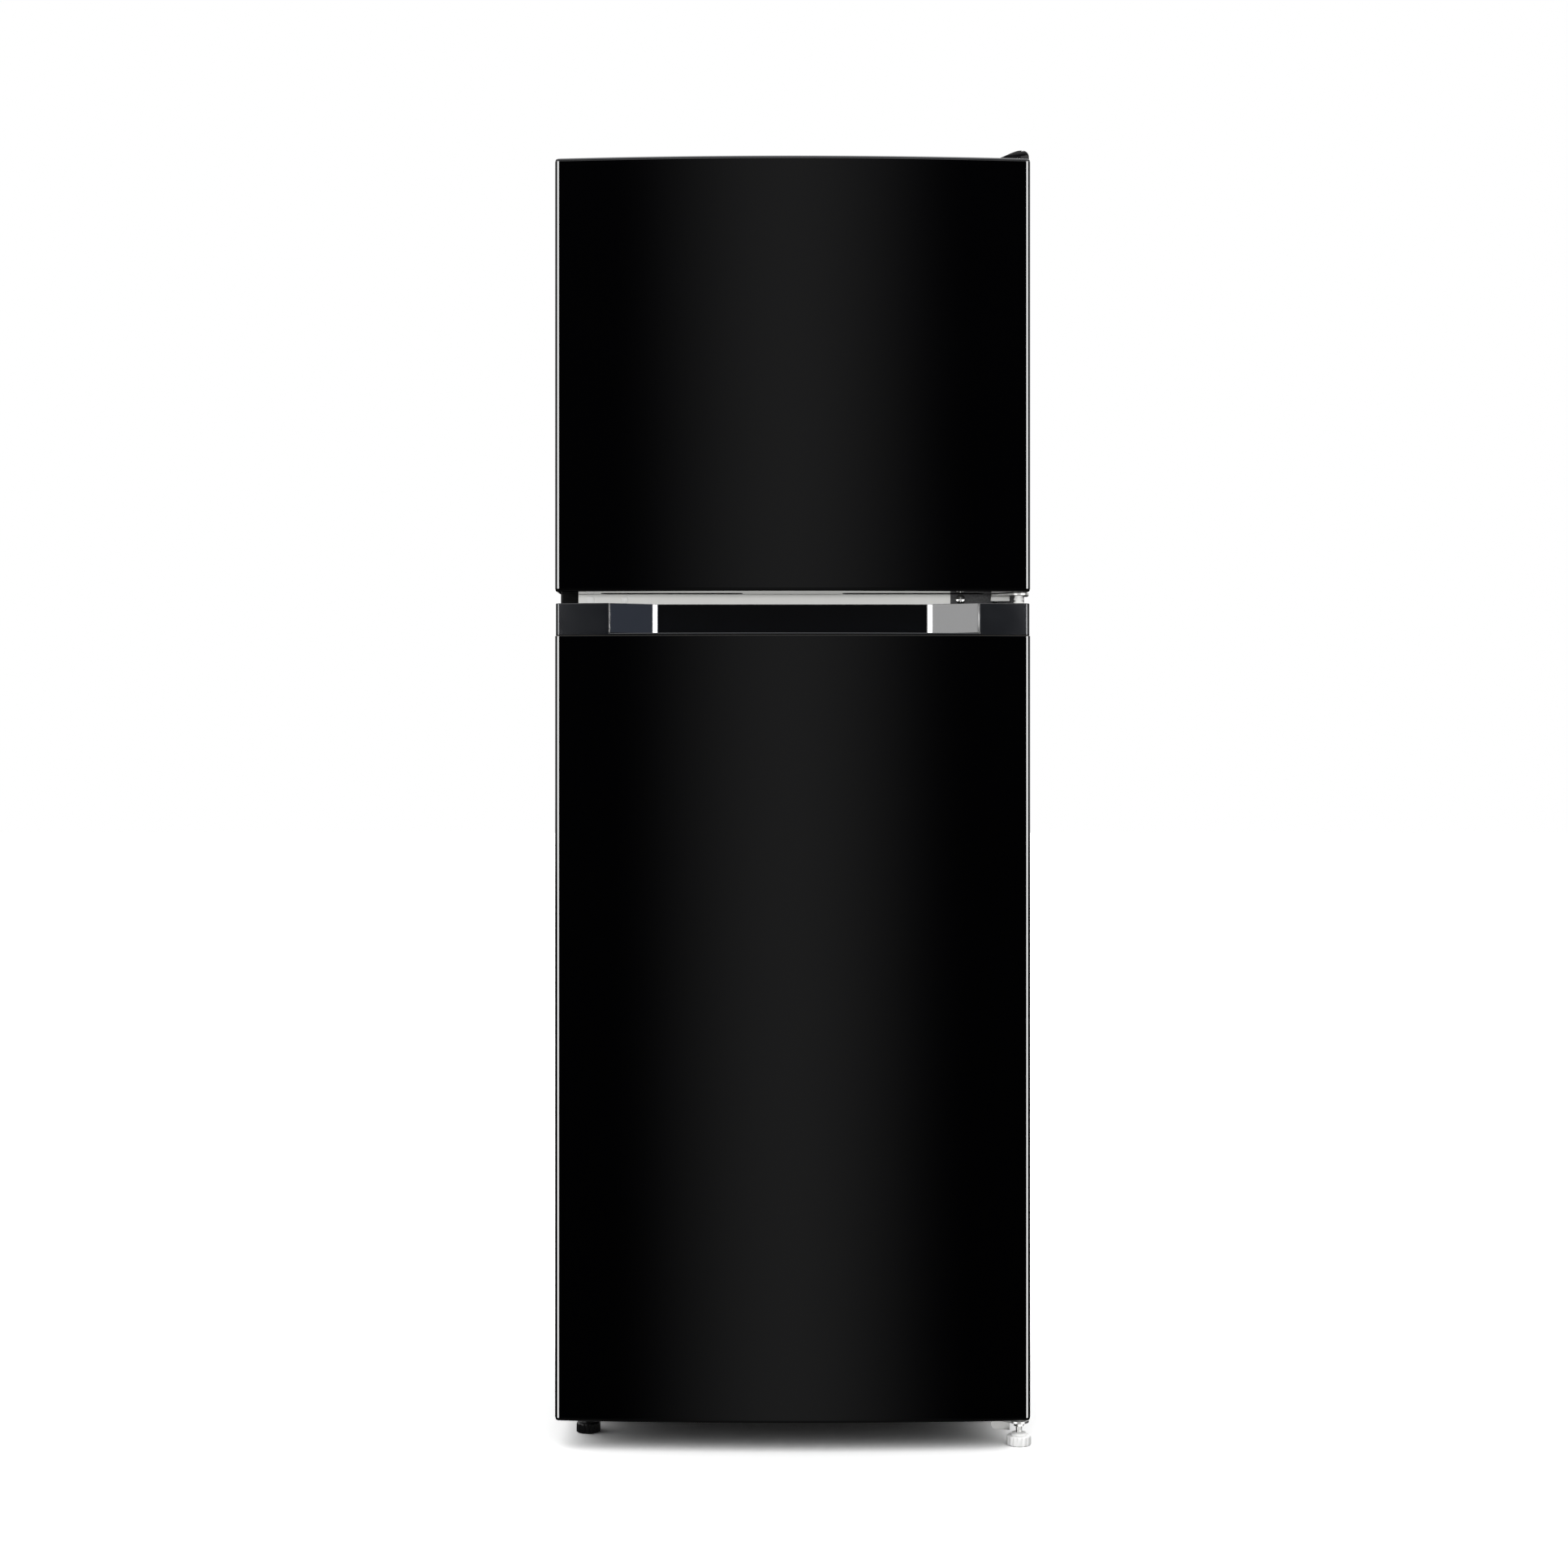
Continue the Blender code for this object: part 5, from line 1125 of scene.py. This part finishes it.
def fan_and_air():
    """The freezer's air cover, the fan behind it, and the fridge's air duct."""
    x, y, z = corners("freezer_air_cover")
    centre = Vector((0.0, 0.2105, sum(corners("fan_motor")[2]) / 2))
    plate = piece("air_panel", box(x, y, z, 0.0012, 2), "white", "cabinet", ["freezer_air_cover"],
        smooth=40)
    radius = 0.044
    through = (y[0] - 0.01, y[1] + 0.01)
    holes = []
    for dz in (-0.036, -0.024, -0.012, 0.0, 0.012, 0.024, 0.036):
        reach = math.sqrt(radius**2 - dz**2) * 0.96
        holes.append(prism(rrect((-reach, reach), (centre.z + dz - 0.0032, centre.z + dz + 0.0032), 0.0031),
            *through, "Y"))
    for i in range(12):
        mid = -0.19 + 0.0345 * i
        holes.append(prism(rrect((mid - 0.004, mid + 0.004), (1.125, 1.150), 0.0038), *through, "Y"))
    cut(plate, merged(*holes))
    ring = [(0.0475, 0.0006), (0.0480, -0.0012), (0.0492, -0.0018), (0.0512, -0.0018), (0.0524, -0.0012),
        (0.0530, 0.0006)]
    loops = ring_loops(ring, (centre.x, y[0], centre.z), sides=72)
    louvres = []
    for dz in (-0.030, -0.018, -0.006, 0.006, 0.018, 0.030):
        reach = math.sqrt(radius**2 - dz**2) * 0.98
        louvres.append(box((-reach, reach), (y[0] - 0.0014, y[0] + 0.001),
            (centre.z + dz - 0.0016, centre.z + dz + 0.0016), 0.0007, 2))
    panels = [box((x[0] + 0.018, x[1] - 0.018), (y[0] - 0.0012, y[0] + 0.001), (h, h + 0.004), 0.0006, 2)
        for h in (1.165, 1.395, 1.530)]
    piece("air_panel_trim", merged(loft(loops, closed=True), *louvres, *panels), "white", "cabinet",
        ["freezer_air_cover"])

    hub = turned([(0, 0.010), (0.0122, 0.010), (0.013, 0.009), (0.013, -0.0035), (0.0115, -0.0055),
        (0.008, -0.0062), (0, -0.0064)], centre, "Y", 48)
    blades = []
    for i in range(5):
        loops = []
        for k in range(9):
            share = k / 8
            r = 0.0115 + (0.0405 - 0.0115) * share
            chord = 0.010 + 0.006 * math.sin(math.pi * min(share * 0.9 + 0.1, 1.0))
            pitch = math.radians(48 - 22 * share)
            sweep = 0.35 * share**1.4
            loop = []
            for q in range(12):
                b = 2 * math.pi * q / 12
                u, v = chord * math.cos(b), 0.0008 * math.sin(b) - 0.0022 * (1 - math.cos(b) ** 2) * 0.5
                depth = -u * math.sin(pitch) + v * math.cos(pitch)
                along = (u * math.cos(pitch) + v * math.sin(pitch)) / r
                angle = 2 * math.pi * i / 5 + sweep + along
                loop.append((centre.x + r * math.cos(angle), centre.y + 0.001 + depth,
                    centre.z + r * math.sin(angle)))
            loops.append(loop)
        blades.append(loft(loops))
    piece("fan_wheel", merged(hub, *blades), "black", "fan", ["evaporator_fan"], smooth=50)
    mx, my, mz = corners("fan_motor")
    can = turned([(0, 0.0105), (0.0165, 0.0105), (0.019, 0.0125), (0.019, 0.036), (0.0175, 0.038),
        (0, 0.038)], centre, "Y", 56)
    strut = box(mx, (centre.y + 0.036, my[1]), mz, 0.0008, 2)
    piece("fan_motor_can", merged(can, strut), "galvanised", "cabinet", ["fan_motor"])

    x, y, z = corners("fridge_air_duct")
    steps = [(y[1], 0.0, 0.010), (y[0] + 0.005, 0.0, 0.010), (y[0] + 0.0022, 0.0009, 0.010)]
    steps += [(y[0] + 0.0006, 0.0026, 0.009), (y[0], 0.0050, 0.008)]
    duct = piece("air_duct", loft(nested(x, z, steps)), "white", "cabinet", ["fridge_air_duct"], smooth=40)
    holes = []
    for base in (0.44, 0.66, 0.88):
        for k in range(4):
            height = base + 0.012 * k
            holes.append(prism(rrect((-0.055, 0.055), (height, height + 0.006), 0.0028), y[0] - 0.01,
                y[0] + 0.008, "Y"))
    cut(duct, merged(*holes))


fan_and_air()


# ================================================================ machine compartment and back
def compressor():
    """The compressor on its grommets, its terminal cover, the drip pan and the filter drier."""
    x, y, z = corners("compressor")
    centre = Vector((0.105, 0.232, 0.0))
    base, radius = z[0], 0.066
    can = [(0, 0.016), (radius * 0.62, 0.016), (radius * 0.86, 0.021), (radius * 0.97, 0.032),
        (radius, 0.046)]
    can += [(radius, 0.074), (radius + 0.0032, 0.0748), (radius + 0.0036, 0.0765),
        (radius + 0.0032, 0.0782)]
    can += [(radius, 0.079), (radius, 0.092)]
    for a in range(8, 90, 6):
        t = math.radians(a)
        can.append((radius * math.cos(t), 0.092 + 0.052 * math.sin(t)))
    can.append((0, z[1] - base))
    piece("compressor_can", turned(can, centre + Vector((0, 0, base)), sides=96), "compressor", "cabinet",
        ["compressor"], smooth=40)
    plate = prism(rrect((centre.x - 0.080, centre.x + 0.080), y, 0.014), base + 0.0125, base + 0.0155)
    grommet = [(0, 0.0), (0.0092, 0.0), (0.0092, 0.004), (0.0066, 0.006), (0.0066, 0.010), (0.0092, 0.012)]
    grommet += [(0.0092, 0.0175), (0.0070, 0.020), (0, 0.020)]
    bolt = [(0, 0.019), (0.0075, 0.019), (0.0075, 0.0202), (0.004, 0.0202), (0.004, 0.0242), (0, 0.0244)]
    mounts, studs = [], []
    for dx in (-0.068, 0.068):
        for dy in (-0.052, 0.052):
            at = centre + Vector((dx, dy, base))
            mounts.append(turned(grommet, at, sides=32))
            studs.append(turned(bolt, at, sides=6))
    piece("compressor_feet_plate", plate, "compressor", "cabinet", ["compressor"], bevel=0.0006)
    piece("compressor_grommets", merged(*mounts), "black", "cabinet", ["compressor"], smooth=50)
    piece("compressor_bolts", merged(*studs), "pin", "cabinet", ["compressor"])
    side = centre.x - radius
    cover = box((side - 0.034, side + 0.010), (0.205, 0.262), (0.095, 0.150), 0.005, 5)
    clip = box((side - 0.0346, side - 0.030), (0.226, 0.241), (0.100, 0.145), 0.0012, 3)
    piece("terminal_cover", merged(cover, clip), "black", "cabinet", ["compressor"])
    x, y, z = corners("drip_tray")
    piece("drip_pan", tub(x, y, z, 0.010), "black", "cabinet", ["drip_tray"], smooth=50)
    x, y, z = corners("filter_drier")
    cx, cy, cz = (sum(p) / 2 for p in (x, y, z))
    half = (z[1] - z[0]) / 2
    drier = [(0, -half), (0.003, -half), (0.0034, -half + 0.010), (0.0055, -half + 0.014),
        (0.0092, -half + 0.020), (0.010, -half + 0.024)]
    drier += [(0.010, half - 0.024), (0.0092, half - 0.020), (0.0055, half - 0.014), (0.0034, half - 0.010),
        (0.003, half), (0, half)]
    piece("drier_body", turned(drier, (cx, cy, cz), sides=40), "copper", "cabinet", ["filter_drier"],
        smooth=50)


compressor()


def pipes():
    """The two refrigerant pipes that show outside the foam."""
    discharge = [(0.176, 0.232, 0.100), (0.200, 0.236, 0.100), (0.222, 0.250, 0.098), (0.232, 0.268, 0.092)]
    discharge += [(0.236, 0.288, 0.082), (0.222, 0.300, 0.074), (0.190, 0.303, 0.072),
        (0.120, 0.303, 0.072)]
    discharge += [(0.020, 0.303, 0.072), (-0.080, 0.303, 0.072), (-0.150, 0.302, 0.073),
        (-0.200, 0.292, 0.078)]
    discharge += [(-0.222, 0.262, 0.086), (-0.226, 0.230, 0.110), (-0.226, 0.216, 0.150),
        (-0.226, 0.212, 0.240)]
    hose("discharge_line", discharge, 0.003, "copper", "cabinet", ["discharge_pipe"])
    suction = [(0.034, 0.196, 0.088), (0.016, 0.186, 0.088), (-0.010, 0.176, 0.092), (-0.045, 0.168, 0.104)]
    suction += [(-0.075, 0.164, 0.130), (-0.090, 0.164, 0.165), (-0.094, 0.166, 0.200),
        (-0.094, 0.168, 0.244)]
    hose("suction_line", suction, 0.004, "copper", "cabinet", ["suction_pipe"])


pipes()


def rollers():
    """The two rear wheels, each with its hub, web and rim."""
    for name in ("left_roller", "right_roller"):
        x, y, z = corners(name)
        centre = [sum(p) / 2 for p in (x, y, z)]
        r, half = (z[1] - z[0]) / 2, (x[1] - x[0]) / 2
        wheel = [(0.0034, -half), (0.007, -half), (0.0075, -half + 0.002), (0.013, -half + 0.002),
            (0.0138, -half), (r - 0.0016, -half)]
        wheel += [(r - 0.0004, -half + 0.0006), (r, -half + 0.002), (r, half - 0.002),
            (r - 0.0004, half - 0.0006), (r - 0.0016, half)]
        wheel += [(0.0138, half), (0.013, half - 0.002), (0.0075, half - 0.002), (0.007, half),
            (0.0034, half)]
        loops = ring_loops(wheel, centre, "X")
        piece(f"{name}_wheel", loft(loops, closed=True), "black", f"{name}_body", [name])


rollers()


def back():
    """The galvanised back panel, its pressed ribs and its screws."""
    x, y, z = corners("back_panel")
    front = y[0]
    skin = box(x, (front, front + 0.0012), z)
    piece("back_sheet", skin, "galvanised", "cabinet", ["back_panel"])
    ribs = []
    for mid in (-0.18, 0.0, 0.18):
        u, v = (mid - 0.012, mid + 0.012), (0.36, 1.52)
        steps = [(front + 0.0006, 0.0, 0.012), (front + 0.0020, 0.0012, 0.0108)]
        steps += [(front + 0.0034, 0.0028, 0.0092), (y[1], 0.0052, 0.0068)]
        ribs.append(loft(nested(u, v, steps)))
    piece("back_ribs", merged(*ribs), "galvanised", "cabinet", ["back_panel"], smooth=50)
    heads = []
    places = [(side * 0.283, h) for side in (-1, 1) for h in (0.30, 0.60, 0.90, 1.20, 1.50)]
    places += [(u, h) for u in (-0.20, 0.0, 0.20) for h in (0.262, 1.602)]
    head = [(0, 0.001), (0.0042, 0.001), (0.0042, 0.0018), (0.0034, 0.0030), (0.0018, 0.0037),
        (0.0, 0.0039)]
    for u, h in places:
        heads.append(turned(head, (u, front, h), "Y", 24))
    piece("back_screws", merged(*heads), "zinc", "cabinet", ["back_panel"])


back()


# ================================================================ CAD nodes that stay, with their looks
for name, node in frame["nodes"].items():
    slot_name = next(s["material_slot"] for s in frame["record"]["subparts"] if s["node"] == name)
    look = next(key for key, value in SLOT.items() if value == slot_name)
    node.data.materials.clear()
    node.data.materials.append(MAT[look])
frame["nodes"]["base_pan"].data.materials[0] = MAT["cabinet"]


# ================================================================ stage
FLOOR_GAIN = 2.2
FIELD_OF_VIEW = 34.0
CAMERA_AT = (-0.0108, DOOR_EDGE - 3.206, 0.832)
def make_floor():
    """A wide white floor."""
    bm = bmesh.new()
    bmesh.ops.create_grid(bm, x_segments=1, y_segments=1, size=40.0)
    data = as_mesh(bm)
    floor = bpy.data.objects.new("floor", data)
    bpy.context.scene.collection.objects.link(floor)
    n = Nodes("floor_paint")
    paint = n.ramp(n.noise(0.8), (1.0, 1.0, 1.0), (0.985, 0.985, 0.985))
    # bright to the camera, as a lit sweep is, but dull to the light that bounces beneath the cabinet
    seen = n.add("ShaderNodeLightPath").outputs["Is Camera Ray"]
    gain = n.ramp(seen, (0.08, 0.08, 0.08), (1.0, 1.0, 1.0), (0.0, 1.0))
    dim = n.add("ShaderNodeMixRGB", {"Fac": 1.0, "Color1": paint, "Color2": gain}, blend_type="MULTIPLY")
    lit = n.add("ShaderNodeMixRGB", {"Fac": 1.0, "Color1": dim.outputs[0],
        "Color2": (*[FLOOR_GAIN] * 3, 1.0)}, blend_type="MULTIPLY")
    chalk = n.add("ShaderNodeBsdfDiffuse", {"Color": lit.outputs[0]})
    n.tree.links.new(chalk.outputs[0], n.tree.nodes["Material Output"].inputs["Surface"])
    data.materials.append(n.material)
    floor.visible_glossy = False


def area_light(name, place, target, size, power, glossy=True, diffuse=True, only=None, tint=(1, 1, 1)):
    """An area light that the camera does not see. only names the objects that it reaches."""
    data = bpy.data.lights.new(name, "AREA")
    data.color = tint
    data.shape = "RECTANGLE"
    data.size, data.size_y = size
    data.energy = power
    light = bpy.data.objects.new(name, data)
    bpy.context.scene.collection.objects.link(light)
    light.location = place
    light.rotation_euler = (Vector(target) - Vector(place)).to_track_quat("-Z", "Y").to_euler()
    light.visible_camera = False
    light.visible_glossy = glossy
    light.visible_diffuse = diffuse
    if only:
        group = bpy.data.collections.new(f"{name}_receivers")
        for obj in only:
            group.objects.link(obj)
        light.light_linking.receiver_collection = group
    return light


def strip(name, azimuth, width, radiance, only, tint=(1, 1, 1), distance=4.0, height=4.4, centre_z=0.9):
    """An upright glossy-only light. azimuth is its direction from the front, in degrees towards +X."""
    a = math.radians(azimuth)
    place = (distance * math.sin(a), -0.3 - distance * math.cos(a), centre_z)
    across = 2 * distance * math.tan(math.radians(width / 2))
    power = radiance * math.pi * across * height
    return area_light(name, place, (0, -0.3, centre_z), (across, height), power, diffuse=False, only=only,
        tint=tint)


def smooth_band(n, value, start, full_start, full_end, end):
    """1 between full_start and full_end, and 0 outside start and end."""
    up = n.add("ShaderNodeMapRange", {"Value": value, "From Min": start, "From Max": full_start},
        interpolation_type="SMOOTHSTEP")
    down = n.add(
        "ShaderNodeMapRange", {"Value": value, "From Min": full_end, "From Max": end, "To Min": 1.0,
            "To Max": 0.0},
        interpolation_type="SMOOTHSTEP",
    )
    return n.add("ShaderNodeMath", {0: up.outputs[0], 1: down.outputs[0]}, operation="MULTIPLY").outputs[0]


class WorldNodes(Nodes):
    def __init__(self):
        world = bpy.data.worlds.new("studio")
        bpy.context.scene.world = world
        world.use_nodes = True
        self.tree = world.node_tree
        self.background = self.tree.nodes["Background"]
        # the sky depends on the kind of ray, so it is found by the rays alone and never sampled as a light
        world.cycles.sampling_method = "NONE"

    def math(self, operation, *values, clamp=False):
        made = self.add("ShaderNodeMath", dict(enumerate(values)), operation=operation)
        made.use_clamp = clamp
        return made.outputs[0]


def make_world():
    """White to the camera, an even dome for soft light, and a dim studio for reflections."""
    n = WorldNodes()
    way = n.add("ShaderNodeTexCoord").outputs["Generated"]
    axes = n.add("ShaderNodeSeparateXYZ", {"Vector": way}).outputs
    x, y, z = axes[0], axes[1], axes[2]
    turn = n.math("ABSOLUTE", n.math("ARCTAN2", x, n.math("MULTIPLY", y, -1.0)))
    level = smooth_band(n, z, -0.42, -0.30, 0.42, 0.62)
    glow = n.math("MULTIPLY", smooth_band(n, turn, -2.0, -1.0, 0.0, math.radians(13.5)), 0.27)
    sides = n.math("MULTIPLY", smooth_band(n, turn, math.radians(22), math.radians(40), math.radians(70),
        math.radians(95)), 0.8)
    rear = n.math("MULTIPLY", smooth_band(n, turn, math.radians(80), math.radians(120), 9.0, 10.0), 0.9)
    # the sides and the rear stop at the horizon, so that nothing shines up from under the floor
    high = smooth_band(n, z, -0.05, 0.0, 0.42, 0.62)
    ring = n.math("ADD", n.math("MULTIPLY", glow, level),
        n.math("MULTIPLY", n.math("ADD", sides, rear), high))
    above = n.math("MULTIPLY", smooth_band(n, z, 0.45, 0.75, 2.0, 3.0), 2.6)
    below = n.math("MULTIPLY", smooth_band(n, n.math("MULTIPLY", z, -1.0), 0.32, 0.6, 2.0, 3.0), 0.10)
    studio = n.math("ADD", n.math("ADD", ring, above), below)
    path = n.add("ShaderNodeLightPath").outputs
    # soft light comes mostly from above, so that the shadow under the cabinet is deep
    overhead = n.add("ShaderNodeMapRange", {"Value": z, "From Min": 0.12, "From Max": 0.55, "To Min": 0.06,
        "To Max": 1.0}).outputs[0]
    dome = n.math("MULTIPLY", path["Is Diffuse Ray"], n.math("MULTIPLY", overhead, 0.90))
    seen = n.math("MAXIMUM", path["Is Camera Ray"], path["Is Transmission Ray"])
    shine = n.math("MULTIPLY", path["Is Glossy Ray"], studio)
    total = n.math("ADD", n.math("ADD", seen, dome), shine)
    n.tree.links.new(total, n.background.inputs["Strength"])
    n.background.inputs["Color"].default_value = (1, 1, 1, 1)


def make_lights():
    """Glossy-only strips for each highlight, and soft lights for the rooms and the gap."""
    named = bpy.data.objects
    edges = [named[k] for k in ("freezer_door_corners", "fridge_door_corners")]
    bright = ("zinc_steel", "foot_white", "black_plastic")
    hardware = [o for o in named if o.type == "MESH" and o.get("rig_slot") in bright]
    hardware = [o for o in hardware if not o.hide_render and not o.name.startswith("left_foot")]
    strip("edge_left", -40, 44, 17.0, edges)
    strip("edge_right", 40, 44, 17.0, edges)
    recess = [named["handle_recess"]]
    trim = [named["handle_trim"]]
    strip("trim_edge_left", -38, 24, 12.0, trim)
    strip("trim_edge_right", 38, 24, 12.0, trim)
    strip("left_ramp", 39, 26, 1.9, recess, (0.70, 0.86, 1.25))
    strip("right_ramp", -39, 26, 25.0, recess)
    strip("recess_far_left", -57, 12, 120.0, recess)
    strip("recess_far_right", 57, 12, 120.0, recess)
    bezel = [named["handle_recess_bezel"]]
    strip("bezel_left", -94, 40, 260.0, bezel)
    strip("bezel_right", 94, 40, 320.0, bezel)
    strip("trim_soft_left", -32, 14, 1.5, trim, (0.9, 0.96, 1.1))
    strip("trim_soft_right", 32, 14, 1.7, trim, (0.8, 0.9, 1.2))
    area_light("hinge_glint", (0.9, -1.6, 4.2), (0.28, -0.28, 1.62), (0.6, 0.6), 260.0, diffuse=False,
        only=[named["top_hinge_cap"], named["top_hinge"]])
    strip("metal_front", 0, 60, 0.8, hardware)
    strip("metal_left", -45, 40, 3.0, hardware)
    strip("metal_right", 45, 40, 3.0, hardware)
    room = [o for o in named if o.type == "MESH" and o.name != "floor"]
    area_light("ceiling", (0.0, -0.9, 3.6), (0.0, -0.2, 0.0), (3.2, 3.2), 190.0, glossy=False, only=room)
    area_light("front", (0.4, -4.2, 2.3), (0.0, 0.0, 0.9), (3.0, 2.2), 46.0, glossy=False, only=room)
    gap_names = ("mullion", "inner_plug", "outer_plug", "mid_", "inner_hinge", "outer_hinge")
    gap_names += ("bottom_hinge", "right_foot")
    gap = [o for o in named if o.name.startswith(gap_names)]
    area_light("gap_fill", (-0.4, -3.6, 1.0), (0.0, 0.0, 0.9), (1.2, 0.5), 75.0, glossy=False, only=gap)


def make_camera():
    """A level camera straight in front."""
    data = bpy.data.cameras.new("camera")
    data.sensor_width = 36.0
    data.lens = 36.0 / (2 * math.tan(math.radians(FIELD_OF_VIEW / 2)))
    camera = bpy.data.objects.new("camera", data)
    bpy.context.scene.collection.objects.link(camera)
    camera.location = CAMERA_AT
    camera.rotation_euler = (math.radians(90), 0, 0)
    bpy.context.scene.camera = camera


make_floor()
make_world()
make_lights()
make_camera()
scene = bpy.context.scene
scene.view_settings.view_transform = "Standard"
scene.view_settings.look = "None"
